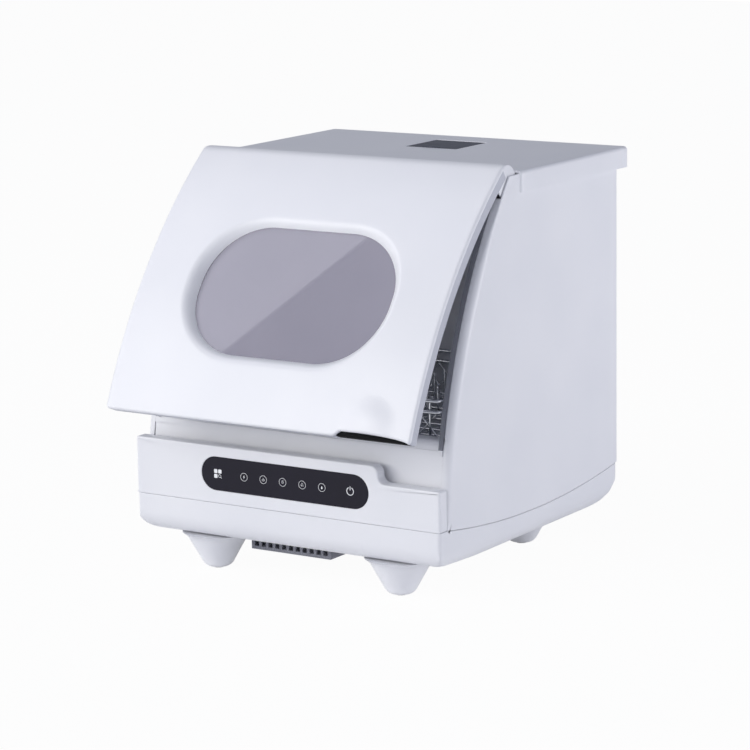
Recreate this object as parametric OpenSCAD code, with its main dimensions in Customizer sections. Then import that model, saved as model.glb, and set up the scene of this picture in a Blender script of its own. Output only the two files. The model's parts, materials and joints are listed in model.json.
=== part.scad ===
// Countertop dishwasher with a bowed, upward-opening lid.
// Millimetres. X runs across the front, Y from front to back, Z up from the table.
// The origin is on the table, under the middle of the machine as it rests with its lid ajar.
// Inside the modules Y is measured from the control panel's face; from_front() moves it.

/* [Cabinet] */
// Width over the control panel and the side panels
body_w = 420; // [380:2:504]
// Depth from the control panel's face to the rear cover
body_d = 416; // [370:2:500]
// Height from the table to the top cover
body_h = 477; // [420:1:574]
// Thickness of the moulded cabinet walls
wall = 3; // [2:0.5:4]
// Height of the seam between the base pan and the panels, at the front and the back
seam_h = 91; // [86:1:96]
// How far that seam dips along each side
seam_dip = 16; // [8:1:18]
// Gap left in every visible seam
seam_gap = 0.5; // [0.3:0.1:0.8]
// Height of the pan's underside above the table
pan_h = 38; // [34:1:42]
// Radius of the pan's lower front edge
pan_front_r = 25; // [18:1:30]
// Radius of the pan's lower side edges
pan_side_r = 28; // [18:1:32]
// Width of the rim around the wash chamber's mouth
rim_w = 10; // [8:1:12]

/* [Top cover] */
// How far the top cover stands out past the rear cover
top_overhang = 25; // [15:1:30]
// How far the top cover stands out past the side panels
side_overhang = 3; // [2:0.5:5]
// Height of the top cover's skirt
skirt_h = 25; // [20:1:30]
// Width of the water hatch
hatch_w = 70; // [60:1:80]
// Length of the water hatch, front to back
hatch_l = 68; // [60:1:74]
// Distance of the water hatch's centre to the right of the middle
hatch_x = 6; // [-10:1:10]

/* [Feet] */
// Radius of a foot where it meets the pan
foot_r = 35; // [30:1:38]
// Radius of the flat end of a foot
foot_tip_r = 8; // [6:1:10]
// Radius of the round between a foot's end and its cone
foot_round_r = 12; // [8:1:14]
// Distance of each foot's centre from the side panel
foot_x = 82; // [76:1:96]
// Distance of the front feet's centres behind the control panel's face
foot_y = 47; // [44:1:60]
// Distance of the rear feet's centres in front of the rear cover's face
foot_back = 92; // [88:1:120]
// Height of the rubber pad that shows below a foot
pad_h = 1; // [0.5:0.5:2]

/* [Control panel] */
// Height of the control panel's top edge above the table
panel_h = 159; // [150:1:166]
// Depth of the control panel's box
panel_d = 14.5; // [12:0.5:14.5]
// How far the top edge drops at the finger access on the right
step_drop = 20.5; // [17:0.5:24]
// Width of the finger access on the right
step_w = 85; // [70:1:100]
// Radius of the two bends in that step
step_r = 7; // [4:0.5:8]
// Width of the dark touch panel
touch_w = 231; // [200:1:250]
// Height of the dark touch panel
touch_h = 40; // [32:1:44]
// Height of the touch panel's centre above the table
touch_z = 126; // [122:1:130]
// Thickness of the touch panel
touch_t = 1.3; // [1:0.1:1.5]
// Diameter of the ring drawn round each programme mark
ring_d = 8; // [7:0.5:9]

/* [Lid] */
// Radius of the lid's bowed face
lid_r = 700; // [600:5:900]
// Thickness of the lid from its face to its liner
lid_t = 16; // [14:0.5:18]
// Thickness of the lid's skin
lid_skin = 3; // [2:0.5:3]
// How far the lid is narrower than the cabinet, each side
lid_inset = 2; // [1:0.5:3]
// Gap between the closed lid and the body's rim
lid_gap = 2; // [1.5:0.5:3]
// Gap between the control panel and the closed lid's lower edge
lid_foot_gap = 2.5; // [2:0.5:8]
// Distance of that edge behind the control panel's face
lid_foot_y = 5; // [2:1:8]
// Distance of the hinge axis behind the control panel's face
hinge_y = 158; // [150:1:166]
// Depth of the hinge axis below the top cover
hinge_drop = 11; // [10:0.5:12]
// Radius of the lid's rolled top edge about the hinge
roll_r = 21.4; // [20.5:0.1:22]
// Angle at which the lid stands ajar at rest
lid_rest = 13; // [0:1:20]
// Angle by which the lid opens further from rest
lid_open = 65; // [30:1:68]
// Radius of the hinge pins
pin_r = 4; // [3:0.5:4.5]
// Radial clearance of the running fits
fit = 0.05; // [0.02:0.01:0.1]

/* [Lid window] */
// Width of the clear window
window_w = 262; // [220:1:300]
// Height of the clear window
window_h = 165; // [130:1:180]
// Corner radius of the clear window
window_r = 78; // [50:1:80]
// Width of the sloping ring around the window
window_flare = 10; // [6:1:12]
// Depth of the window below the lid's face
window_depth = 12.5; // [11:0.5:13]
// Thickness of the window
window_t = 3; // [2:0.5:3]
// Height of the window's centre along the lid, from the lower edge
window_s = 164; // [150:1:175]

/* [Finger grip] */
// Distance of the grip to the right of the middle
grip_x = 151; // [140:1:155]
// Height of the grip's centre along the lid
grip_s = 24; // [20:1:30]
// Half-width of the grip's swelling
grip_r = 37; // [30:1:38]
// Height of the grip's swelling
grip_h = 6; // [3:0.5:8]
// Width of the finger notch in the lower edge
notch_w = 92; // [60:1:96]
// Depth of the finger notch
notch_d = 4.5; // [3:0.5:6]

/* [Wash chamber] */
// Gap between the cabinet's outside and the tub
tub_gap = 15.5; // [14:0.5:20]
// Thickness of the tub
tub_wall = 2.5; // [2:0.5:3]
// Height of the tub's floor above the table
tub_z = 140; // [138:1:144]
// Distance of the tub's back from the rear cover's face
tub_back = 71; // [66:1:80]
// Radius of the sump below the tub
sump_r = 60; // [54:1:64]
// Depth of the sump
sump_d = 38; // [34:1:40]
// Length of the spray arm
arm_l = 250; // [200:2:264]
// Width of the spray arm
arm_w = 26; // [22:1:32]
// Radius of the post that the spray arm turns on
post_r = 6; // [5:0.5:8]
// Radius of the filter cup
cup_r = 20; // [16:1:21]

/* [Basket] */
// Thickness of the basket's wires
wire_d = 3; // [2.5:0.5:4]
// Thickness of the basket's rim bars
bar_d = 4.5; // [3.5:0.5:5]
// Gap between the basket and the tub's sides
basket_gap = 10; // [8:1:16]
// Height of the basket's floor above the tub's floor
basket_lift = 36; // [34:1:40]
// Height of the basket
basket_h = 50; // [40:1:56]
// Number of plate slots in each row
slots = 9; // [5:1:10]

/* [Water and air] */
// Radius of the wash pump's casing
pump_r = 29; // [24:1:30]
// Radius of the drain pump's casing
drain_r = 22; // [18:1:24]
// Width of the water tank
tank_w = 270; // [220:1:280]
// Radius of the drying fan
fan_r = 27; // [22:1:30]
// Number of blades on the drying fan
blades = 7; // [5:1:9]

/* [Hidden] */
$fn = 64;

// Colours
white_c = [0.93, 0.94, 0.97];
dark_c = [0.15, 0.15, 0.2];
grey_c = [0.45, 0.47, 0.5];
steel_c = [0.72, 0.73, 0.75];
rubber_c = [0.2, 0.2, 0.22];
trim_c = [0.68, 0.69, 0.72];
board_c = [0.1, 0.4, 0.25];

// Planes across the machine, from the middle
side_x = body_w / 2;
side_in = side_x - wall;
rim_x = side_x - rim_w;
top_x = side_x + side_overhang;
lid_x = side_x - lid_inset;
cheek_x = lid_x - lid_skin;
tub_x = side_x - tub_gap;
tub_in = tub_x - tub_wall;
boss_x = cheek_x - 7;
washer_t = 2;
bracket_x = boss_x - washer_t;
bracket_t = 8;
curtain_x = cheek_x - 1;

// Planes from front to back and heights
top_y = body_d + top_overhang;
tub_y = body_d - tub_back;
tub_top = body_h - 34;
top_under = body_h - wall;
hinge = [hinge_y, body_h - hinge_drop];

// The bowed face's centre: the face passes through the lid's lower edge and wraps the hinge roll
lid_foot = [lid_foot_y, panel_h + lid_foot_gap];
span = norm(hinge - lid_foot);
reach = ((lid_r - roll_r) ^ 2 - lid_r ^ 2 + span ^ 2) / (2 * span);
rise = sqrt((lid_r - roll_r) ^ 2 - reach ^ 2);
toward = (lid_foot - hinge) / span;
bow = hinge + reach * toward + rise * [-toward[1], toward[0]];

// Radii about that centre
liner_r = lid_r - lid_t;
edge_r = liner_r - lid_gap;
flange_r = edge_r - 1;
gasket_r = flange_r + 2.5;

// Angles about that centre: 180 faces the front, smaller is higher up the lid
lean = angle_of(hinge - bow);
foot_a = angle_of(lid_foot - bow);
function angle_of(p) = atan2(p[1], p[0]);
function bow_angle(r, z) = 180 - asin((z - bow[1]) / r);
function arc_step(r) = 180 / (PI * r);
liner_top_a = lean + 29 * arc_step(liner_r);
liner_foot_a = foot_a - (lid_skin + 0.7) * arc_step(liner_r);
window_a = foot_a - window_s * arc_step(lid_r);
grip_a = foot_a - grip_s * arc_step(lid_r);
roll_end = lid_rest + lid_open + 25;

// Outlines are lists of points; arcs are worked out here
function arc(c, r, a0, a1, n = 24) =
    [for (i = [0 : n]) let (a = a0 + (a1 - a0) * i / n) c + r * [cos(a), sin(a)]];
function turned(p, c, a) = let (d = p - c) c + [d[0] * cos(a) - d[1] * sin(a), d[0] * sin(a) + d[1] * cos(a)];
function skin_line() = concat(arc(bow, lid_r, foot_a, lean), arc(hinge, roll_r, lean, roll_end, 8));

// The ajar lid's lower edge is the foremost point, and the top cover's skirt the rearmost
front_y = min([for (p = skin_line()) turned(p, hinge, -lid_rest)[0]]);
mid_y = (front_y + top_y) / 2;

// Sump, spray arm and basket
front_wall_y = 44;
sump_y = (front_wall_y + tub_y) / 2;
sill_top = tub_z + 43;
under_z = tub_z - tub_wall;
sump_wall = 2.5;
arm_z = tub_z + 12;
arm_t = 10;
basket_z = tub_z + basket_lift;
basket_x = tub_in - basket_gap;
basket_y0 = front_wall_y + 18;
basket_y1 = tub_y - 14;
cup_x = cup_r + 14;
float_at = [-(tub_in - 74), front_wall_y + 44];
pump_z = 100;
drain_at = [-(sump_r + 44), sump_y];
pipe_r = 9;
tank_z0 = tub_z + 22;
tank_z1 = tub_top - 3;
tank_x0 = hatch_x + 94 - tank_w;
tank_y0 = tub_y + 6;
tank_y1 = body_d - 9;
spout_y = (tank_y0 + tank_y1) / 2 - 4;
spout_r = 14;
fan_at = [hatch_x + 94 + fan_r + 16, tub_top - fan_r - 20];
fan_t = 20;
fan_y = body_d - 31;
hatch_y = tub_y + 10;
hatch_axis = [hatch_y + hatch_l / 2 + 2.5, body_h - 2.5];
hatch_pin_r = 1.2;
hatch_roll = 2.5;
inlet_at = [side_x - 70, seam_h + 34];
screw_z = [seam_h + 20, (seam_h + body_h) / 2, body_h - 40];
screw_r = 1.9;
screw_x = side_in - 8;

// Frames and sections
module from_front() translate([0, -mid_y, 0]) children();
module on_lid() from_front() translate([0, hinge[0], hinge[1]]) rotate([-lid_rest, 0, 0])
    translate([0, -hinge[0], -hinge[1]]) children();
module at_lid(a) translate([0, bow[0] + lid_r * cos(a), bow[1] + lid_r * sin(a)]) rotate([a - 90, 0, 0])
    children();
module across(x0, x1) translate([x0, 0, 0]) rotate([90, 0, 90]) linear_extrude(x1 - x0) children();
module deep(y0, y1) translate([0, y1, 0]) rotate([90, 0, 0]) linear_extrude(y1 - y0) children();
module block(a, b) translate(a) cube(b - a);
module both() for (s = [0, 1]) mirror([s, 0, 0]) children();
module rod_x(x0, x1, y, z, r) translate([x0, y, z]) rotate([0, 90, 0]) cylinder(h = x1 - x0, r = r);
module rod_y(x, y0, y1, z, r) translate([x, y0, z]) rotate([-90, 0, 0]) cylinder(h = y1 - y0, r = r);
module rod_z(x, y, z0, z1, r) translate([x, y, z0]) cylinder(h = z1 - z0, r = r);
module bow_band(r0, r1, a0, a1) polygon(concat(arc(bow, r1, a0, a1), arc(bow, r0, a1, a0)));

// A rectangle with round corners, as true arcs
module round_rect(w, h, r) {
    square([w, h - 2 * r], center = true);
    square([w - 2 * r, h], center = true);
    for (x = [-1, 1], y = [-1, 1])
        translate([x * (w / 2 - r), y * (h / 2 - r)]) circle(r);
}

// A bar with half-round ends
module stadium(w, h) {
    square([w - h, h], center = true);
    for (s = [-1, 1]) translate([s * (w - h) / 2, 0]) circle(h / 2);
}

// A round-cornered dish that widens by flare over its depth
module dish(w, h, r, depth, flare) {
    for (x = [-1, 1], y = [-1, 1])
        translate([x * (w / 2 - r), y * (h / 2 - r), 0]) cylinder(h = depth, r1 = r, r2 = r + flare);
    rotate([90, 0, 90]) translate([0, 0, r - w / 2]) linear_extrude(w - 2 * r)
        polygon([[-h / 2, 0], [h / 2, 0], [h / 2 + flare, depth], [-h / 2 - flare, depth]]);
    rotate([90, 0, 0]) translate([0, 0, r - h / 2]) linear_extrude(h - 2 * r)
        polygon([[-w / 2, 0], [w / 2, 0], [w / 2 + flare, depth], [-w / 2 - flare, depth]]);
}

// Side view of the pan, with its seam along the top
seam_r = ((body_d - panel_d) ^ 2 / 4 + seam_dip ^ 2) / (2 * seam_dip);
seam_mid = [(body_d + panel_d) / 2, seam_h - seam_dip + seam_r];
seam_a = asin((body_d - panel_d) / 2 / seam_r);
function seam_line(drop) = arc(seam_mid - [0, drop], seam_r, 270 - seam_a, 270 + seam_a, 20);
pan_rear_r = seam_h - seam_gap - pan_h;
pan_fall = 7.5;
pan_flat_y = 100;
function pan_side(t) =
    let (front = [pan_front_r, pan_h + pan_fall + pan_front_r])
    let (rear = [body_d - pan_rear_r, seam_h - seam_gap])
    concat(arc(front, pan_front_r - t, 180, 264.6, 8), [[pan_flat_y, pan_h + t]],
        arc(rear, pan_rear_r - t, 270, 360, 12));
module pan_outer() intersection() {
    across(-side_x - 1, side_x + 1)
        polygon(concat([[0, seam_h - seam_gap]], pan_side(0), reverse(inner_points(seam_line(seam_gap)))));
    deep(-1, body_d + 1) pan_front(0, seam_h + 1);
}
module pan_inner() intersection() {
    across(-side_x - 1, side_x + 1)
        polygon(concat([[wall, seam_h + 1]], pan_side(wall), [[body_d - wall, seam_h + 1]]));
    deep(-1, body_d + 1) pan_front(wall, seam_h + 2);
}
module pan_front(t, z) polygon(concat([[-side_x + t, z]],
    arc([pan_side_r - side_x, pan_h + pan_side_r], pan_side_r - t, 180, 270, 8),
    arc([side_x - pan_side_r, pan_h + pan_side_r], pan_side_r - t, 270, 360, 8), [[side_x - t, z]]));
function inner_points(v) = [for (i = [0 : len(v) - 2]) v[i]];
function reverse(v) = [for (i = [len(v) - 1 : -1 : 0]) v[i]];
function foot_places() =
    [for (y = [foot_y, body_d - foot_back], x = [foot_x - side_x, side_x - foot_x]) [x, y]];

// Base pan: rounded tray with four foot bosses, cooling slots and pump cradles
module base_pan() color(white_c) from_front() difference() {
    union() {
        pan_outer();
        for (p = foot_places()) translate([p[0], p[1], pan_h]) cylinder(h = 14, r1 = foot_r, r2 = foot_r + 8);
    }
    pan_inner();
    for (i = [-3 : 3], y = slot_y)
        block([guard_x + i * guard_w / 8 - 2.5, y, pan_h - 1],
            [guard_x + i * guard_w / 8 + 2.5, y + slot_l, pan_h + wall + 1]);
}

// Guard under the pan's cooling slots: a dark louvred tray
guard_x = -34;
guard_w = 112;
guard_h = 15;
guard_wall = 2.5;
guard_y = [pan_flat_y - 38, body_d - 120];
slot_y = [guard_y[0] + 58, guard_y[1] - 66];
slot_l = 45;
module vent_guard() color(dark_c) from_front() difference() {
    union() {
        guard_block([guard_w / 2, pan_flat_y + 2, -guard_h], [guard_y[1], 0]);
        guard_block([guard_w / 2, guard_y[0], -guard_h], [pan_flat_y + 3, -0.2]);
    }
    guard_block([guard_w / 2 - guard_wall, guard_y[0] + guard_wall, guard_wall - guard_h],
        [guard_y[1] - guard_wall, 1]);
    for (i = [-5 : 5]) translate([i * guard_w / 11.5, 0, 0]) {
        guard_block([3, guard_y[0] - 1, 4 - guard_h], [guard_y[0] + guard_wall + 1, -3]);
        for (y = slot_y) guard_block([2, y, -guard_h - 1], [y + slot_l, guard_wall - guard_h + 1]);
    }
}
module guard_block(a, b) block([guard_x - a[0], a[1], pan_h + a[2]], [guard_x + a[0], b[0], pan_h + b[1]]);

// Foot: a round-nosed cone with a flat pocket for its pad
foot_cone = 29.5;
module foot(p) color(white_c) from_front() translate([p[0], p[1], 0]) difference() {
    rotate_extrude() polygon(concat([[0, pad_h]],
        arc([foot_tip_r, pad_h + foot_round_r], foot_round_r, 270, 360 - foot_cone, 8),
        [[foot_r, pan_h], [0, pan_h]]));
    cylinder(h = pad_h + 2, r = foot_tip_r - 1 + fit);
}
module foot_front_left() foot(foot_places()[0]);
module foot_front_right() foot(foot_places()[1]);
module foot_rear_left() foot(foot_places()[2]);
module foot_rear_right() foot(foot_places()[3]);
module foot_pads() color(rubber_c) from_front() for (p = foot_places())
    translate([p[0], p[1], 0]) cylinder(h = pad_h + 2, r = foot_tip_r - 1);

// Side panel: flat sheet with a bowed front rim, cut back behind the control panel, and a rear return
// for the screws
module side_sheet() polygon(concat(arc(bow, edge_r, bow_angle(edge_r, seam_h), lean),
    [[body_d, top_under - seam_gap]], reverse(seam_line(0))));
module side_panel() color(white_c) from_front() difference() {
    union() {
        across(side_in, side_x) side_sheet();
        across(rim_x, side_x) bow_band(edge_r - wall, edge_r, bow_angle(edge_r, seam_h + 6), liner_top_a);
        block([side_in - 14, body_d - 2 * wall - 0.5, seam_h + 6],
            [side_in, body_d - wall - 0.5, top_under - 30]);
    }
    rod_x(rim_x - 20, side_x + 1, hinge[0], hinge[1], roll_r + 2);
    block([rim_x - 20, panel_d - 40, seam_h - 1], [side_x + 1, panel_d, panel_h + fit]);
    for (z = screw_z) rod_y(screw_x, body_d - 20, body_d, z, screw_r + fit);
}
module side_panel_right() side_panel();
module side_panel_left() mirror([1, 0, 0]) side_panel();

// Rear cover: fan grille, drain and power cut-outs
module rear_cover() color(white_c) from_front() difference() {
    block([-side_in + 0.4, body_d - wall, seam_h + seam_gap], [side_in - 0.4, body_d, top_under - 1]);
    for (i = [-4 : 4]) {
        half = sqrt(fan_r ^ 2 - (i * 5.4) ^ 2) - 1;
        block([fan_at[0] - half, body_d - 5, fan_at[1] + i * 5.4 - 1.5],
            [fan_at[0] + half, body_d + 1, fan_at[1] + i * 5.4 + 1.5]);
    }
    rod_y(drain_at[0], body_d - 5, body_d + 1, seam_h + 21, pipe_r + 1);
    block([inlet_at[0] - 14.5, body_d - 5, inlet_at[1] - 10.5],
        [inlet_at[0] + 14.5, body_d + 1, inlet_at[1] + 10.5]);
    both() for (z = screw_z) rod_y(screw_x, body_d - 5, body_d + 1, z, screw_r + fit);
}

// Top cover: plate with skirts, the hatch opening and a curtain under the lid's rolled edge
module top_cover() color(white_c) from_front() {
    difference() {
        block([-top_x, hinge[0] + roll_r + 1.6, body_h - skirt_h], [top_x, top_y, body_h]);
        block([-top_x + side_overhang - 0.3, 0, body_h - skirt_h - 1],
            [top_x - side_overhang + 0.3, top_y - wall, top_under]);
        block([hatch_x - hatch_w / 2 - 0.5, hatch_y - hatch_l / 2 - 0.5, top_under - 1],
            [hatch_x + hatch_w / 2 + 0.5, hatch_axis[0] + hatch_roll + 1.5, body_h + 1]);
        hatch_rod(hatch_w / 2 + 4.1, hatch_pin_r + fit / 2);
    }
    block([-top_x + 1, body_d + 0.6, body_h - skirt_h], [top_x - 1, top_y - 1, body_h - skirt_h + wall]);
    across(-curtain_x, curtain_x) union() {
        polygon(concat(arc(hinge, roll_r - lid_skin - 1, 118, -6, 12),
            arc(hinge, roll_r - lid_skin - 3.4, -6, 118, 12)));
        polygon([for (p = [[15, -2], [27, -2], [27, 9], [24.5, 9], [24.5, 0.5], [15, 0.5]]) hinge + p]);
    }
}

// Water hatch: smoky flap with a rolled rear edge round its pin
module fill_hatch() color([0.25, 0.26, 0.3]) from_front() difference() {
    union() {
        block([hatch_x - hatch_w / 2, hatch_y - hatch_l / 2, top_under],
            [hatch_x + hatch_w / 2, hatch_axis[0], body_h]);
        hatch_rod(hatch_w / 2, hatch_roll);
        block([hatch_x - 12, hatch_y - hatch_l / 2, body_h - 1],
            [hatch_x + 12, hatch_y - hatch_l / 2 + 2, body_h + 1]);
    }
    hatch_rod(hatch_w, hatch_pin_r + fit);
}
module hatch_pin() color(steel_c) from_front() hatch_rod(hatch_w / 2 + 4, hatch_pin_r);
module hatch_rod(half, r) rod_x(hatch_x - half, hatch_x + half, hatch_axis[0], hatch_axis[1], r);

// Funnel under the hatch: a square cup with two pin ears and a spout into the tank
funnel_z = tub_top + 2;
module fill_funnel() color(grey_c) from_front() difference() {
    union() {
        block([hatch_x - hatch_w / 2 - 2.5, hatch_y - hatch_l / 2 - 2.5, funnel_z],
            [hatch_x + hatch_w / 2 + 2.5, tank_y1 - 2, top_under - 0.2]);
        both_ears() block([hatch_w / 2 + 0.6, hatch_axis[0] - 4, funnel_z],
            [hatch_w / 2 + 4, hatch_axis[0] + 4, top_under - 0.2]);
        rod_z(hatch_x, spout_y, tank_z1 - 8, funnel_z + 2, spout_r);
    }
    block([hatch_x - hatch_w / 2 - 0.5, hatch_y - hatch_l / 2 - 0.5, funnel_z + 2],
        [hatch_x + hatch_w / 2 + 0.5, tank_y1 - 4, top_under + 1]);
    rod_z(hatch_x, spout_y, tank_z1 - 9, funnel_z + 3, spout_r - 2);
    hatch_rod(hatch_w / 2 + 4.1, hatch_pin_r + fit / 2);
}
module both_ears() translate([hatch_x, 0, 0]) both() children();

// Control panel: open-backed box whose top edge steps down for the fingers
step_x = side_x - step_w;
step_z = panel_h - step_drop;
function panel_line(t) =
    let (a = [step_x, panel_h - step_r])
    let (b = [step_x + 2 * step_r, step_z + step_r])
    concat([[-side_x + t, seam_h + t], [-side_x + t, panel_h - t]],
        arc(a, step_r - t, 90, 0, 6), arc(b, step_r + t, 180, 270, 6),
        [[side_x - t, step_z - t], [side_x - t, seam_h + t]]);
module front_panel() color(white_c) from_front() difference() {
    deep(0, panel_d) polygon(panel_line(0));
    deep(wall, panel_d + 1) polygon(panel_line(wall));
    deep(-1, touch_t + 0.2) translate([0, touch_z]) stadium(touch_w + 0.3, touch_h + 0.3);
}
module touch_panel() color(dark_c) from_front()
    deep(0.2, touch_t + 0.2) translate([0, touch_z]) stadium(touch_w, touch_h);

// Marks on the touch panel: a four-part menu mark, five rings and a power mark
ring_x = [for (i = [-2 : 2]) i * 27];
menu_x = -92.5;
power_x = 91;
mark_t = 0.15;
module touch_marks() color("white") from_front() deep(0.2 - mark_t, 0.2) translate([0, touch_z]) {
    for (i = [0, 1], j = [0, 1]) translate([menu_x + i * 5 - 4.6, j * 5 - 4.6]) square(4.2);
    for (x = ring_x) translate([x, 0]) difference() {
        circle(ring_d / 2);
        circle(ring_d / 2 - 0.6);
    }
    translate([power_x, 0]) difference() {
        circle(5);
        circle(4.1);
        translate([-1.5, 2]) square([3, 4]);
    }
    translate([power_x - 0.45, 1]) square([0.9, 4.6]);
}

// Electronics: the touch board behind the panel and the power board in the base
module control_board() color(board_c) from_front() {
    block([-touch_w / 2 + 5, wall, touch_z - 17], [touch_w / 2 - 5, wall + 1.6, touch_z + 17]);
    for (i = [-2 : 2]) block([i * 40 - 6, wall + 1.5, touch_z - 6], [i * 40 + 6, wall + 4, touch_z + 6]);
}
board_z = pan_h + wall + 10;
board_y = foot_y + foot_r + 22;
module power_board() color(board_c) from_front() {
    block([side_x - 92, board_y, board_z], [side_x - 32, board_y + 44, board_z + 1.6]);
    for (x = [side_x - 88, side_x - 36], y = [board_y + 4, board_y + 40])
        rod_z(x, y, pan_h + wall, board_z + 0.1, 3);
    block([side_x - 86, board_y + 6, board_z + 1.5], [side_x - 66, board_y + 26, board_z + 20]);
    for (i = [0 : 2]) block([side_x - 58 + i * 8, board_y + 8, board_z + 1.5],
        [side_x - 53 + i * 8, board_y + 26, board_z + 15]);
}

// Front sill: bowed riser behind the control panel, rolled back over the tub's front wall
roll_at = bow + (flange_r - 8) * [cos(bow_angle(flange_r, sill_top)), sin(bow_angle(flange_r, sill_top))];
sill_a = bow_angle(flange_r, sill_top);
lip_z = roll_at[1] + 8;
module front_sill() color(white_c) from_front() {
    across(-rim_x + 0.5, rim_x - 0.5) polygon(concat(
        arc(bow, flange_r, bow_angle(flange_r, seam_h + 6), sill_a, 12), arc(roll_at, 8, sill_a, 90, 6),
        [[front_wall_y - 0.3, lip_z], [front_wall_y - 0.3, lip_z - 2.5]],
        arc(roll_at, 5.5, 90, sill_a, 6),
        arc(bow, flange_r - 2.5, sill_a, bow_angle(flange_r, seam_h + 6), 12)));
    block([-tub_in + 0.3, roll_at[0], lip_z - 2.5], [tub_in - 0.3, front_wall_y + tub_wall + 2, lip_z]);
}

// Tub: one-piece wash chamber with a flange along its bowed mouth
mouth_a0 = bow_angle(flange_r, sill_top);
mouth_a1 = bow_angle(flange_r, tub_top);
module tub() color(grey_c) from_front() difference() {
    union() {
        difference() {
            across(-tub_x, tub_x) polygon(concat([[front_wall_y, under_z], [front_wall_y, lip_z + 0.3]],
                arc(bow, flange_r, bow_angle(flange_r, lip_z + 0.3), mouth_a1),
                [[tub_y, tub_top], [tub_y, under_z]]));
            across(-tub_in, tub_in) polygon(concat(
                [[front_wall_y + tub_wall, tub_z], [front_wall_y + tub_wall, sill_top], [0, sill_top]],
                arc(bow, flange_r + 9, mouth_a0, bow_angle(flange_r + 9, tub_top - tub_wall)),
                [[tub_y - tub_wall, tub_top - tub_wall], [tub_y - tub_wall, tub_z]]));
        }
        both() across(tub_x - 1, rim_x - 0.5) bow_band(flange_r - 2.5, flange_r, mouth_a0 - 0.9, mouth_a1);
        across(-tub_x + 1, tub_x - 1) bow_band(flange_r - 2.5, flange_r, mouth_a1 + 0.8, mouth_a1 + 0.01);
    }
    rod_z(0, sump_y, under_z - 1, tub_z + 1, sump_r);
    rod_z(float_at[0], float_at[1], under_z - 1, tub_z + 1, 4);
    rod_y(fan_at[0], tub_y - 5, tub_y + 1, fan_at[1], fan_r - 3);
}

// Gasket: one rubber loop on the tub's flange and the sill
module tub_gasket() color(trim_c) from_front() difference() {
    across(-rim_x + 1.5, rim_x - 1.5) bow_band(flange_r + 0.05, gasket_r, mouth_a0 + 0.9, mouth_a1 + 0.05);
    across(-tub_in - 1.5, tub_in + 1.5) bow_band(flange_r - 1, gasket_r + 1, mouth_a0 + 0.4, mouth_a1 + 0.55);
}

// Sump: bowl under the tub's floor with pump, tank and drain ports
sump_z = under_z - sump_d;
module sump() color(grey_c) from_front() difference() {
    union() {
        rod_z(0, sump_y, sump_z, under_z, sump_r + sump_wall);
        rod_z(0, sump_y, under_z - 3, under_z, sump_r + 9);
        rod_x(0, sump_r + 16, sump_y, pump_z + 12, pipe_r);
        rod_x(-sump_r - 20, 0, sump_y, pump_z + 12, pipe_r);
        rod_y(hatch_x - 30, sump_y, sump_y + sump_r + 14, pump_z + 12, pipe_r);
    }
    rod_z(0, sump_y, sump_z + sump_wall, under_z + 1, sump_r - 1);
    rod_z(0, sump_y, under_z - 2, under_z + 1, sump_r);
    rod_x(0, sump_r + 17, sump_y, pump_z + 12, pipe_r - 2);
    rod_x(-sump_r - 21, 0, sump_y, pump_z + 12, pipe_r - 2);
    rod_y(hatch_x - 30, sump_y, sump_y + sump_r + 15, pump_z + 12, pipe_r - 2);
    rod_z(0, sump_y, sump_z - 1, sump_z + 6, post_r + 2 + fit);
    for (y = [-1, 1]) rod_z(-10, sump_y + y * 42, sump_z - 1, sump_z + 6, 3.6);
}

// Filter plate over the sump, and the cup that turns to unlock in it
plate_z = under_z - 2;
module filter_plate() color(steel_c) from_front() difference() {
    rod_z(0, sump_y, plate_z, plate_z + 2, sump_r - 0.3);
    rod_z(0, sump_y, plate_z - 1, plate_z + 3, post_r + 2.3);
    rod_z(cup_x, sump_y, plate_z - 1, plate_z + 3, cup_r + fit);
    translate([cup_x, sump_y, 0]) rotate(45) for (s = [-1, 1])
        block([s * cup_r - 3.5, -3.5, plate_z - 1], [s * cup_r + 3.5, 3.5, plate_z + 3]);
    for (i = [0 : 10]) translate([0, sump_y, 0]) rotate(75 + i * 21)
        for (r = [sump_r - 26, sump_r - 17, sump_r - 8]) rod_z(r, 0, plate_z - 1, plate_z + 3, 1.6);
}
module filter_cup() color([0.35, 0.37, 0.4]) from_front() translate([cup_x, sump_y, 0]) difference() {
    union() {
        rod_z(0, 0, sump_z + 6, plate_z + 4, cup_r);
        rod_z(0, 0, plate_z + 2.1, plate_z + 4, cup_r + 3);
        block([-cup_r - 2.5, -2.5, plate_z - 2.3], [cup_r + 2.5, 2.5, plate_z - 0.3]);
    }
    rod_z(0, 0, sump_z + 8, plate_z + 5, cup_r - 2);
    for (i = [0 : 7]) rotate(22.5 + i * 45) block([cup_r - 4, -2.5, sump_z + 12],
        [cup_r + 4, 2.5, plate_z - 8]);
}

// Spray post, arm and nut
post_top = arm_z + arm_t + 7;
module spray_post() color(grey_c) from_front() difference() {
    union() {
        rod_z(0, sump_y, sump_z - 6, arm_z - 0.1, post_r + 2);
        rod_z(0, sump_y, sump_z - 6, post_top, post_r);
    }
    rod_z(0, sump_y, sump_z - 7, post_top - 3, post_r - 2.5);
}
module spray_arm() color([0.6, 0.62, 0.66]) from_front() translate([0, sump_y, arm_z]) difference() {
    union() {
        cylinder(h = arm_t, r = 17);
        block([-arm_l / 2 + arm_w / 2, -arm_w / 2, 1], [arm_l / 2 - arm_w / 2, arm_w / 2, arm_t - 1]);
        for (s = [-1, 1]) translate([s * (arm_l - arm_w) / 2, 0, 1]) cylinder(h = arm_t - 2, r = arm_w / 2);
    }
    translate([0, 0, -1]) cylinder(h = arm_t + 2, r = post_r + fit);
    for (s = [-1, 1], i = [0 : 4])
        rod_z(s * (32 + i * (arm_l / 2 - 44) / 4), s * (i % 2 * 8 - 4), arm_t - 3, arm_t + 2, 1.4);
}
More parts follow.
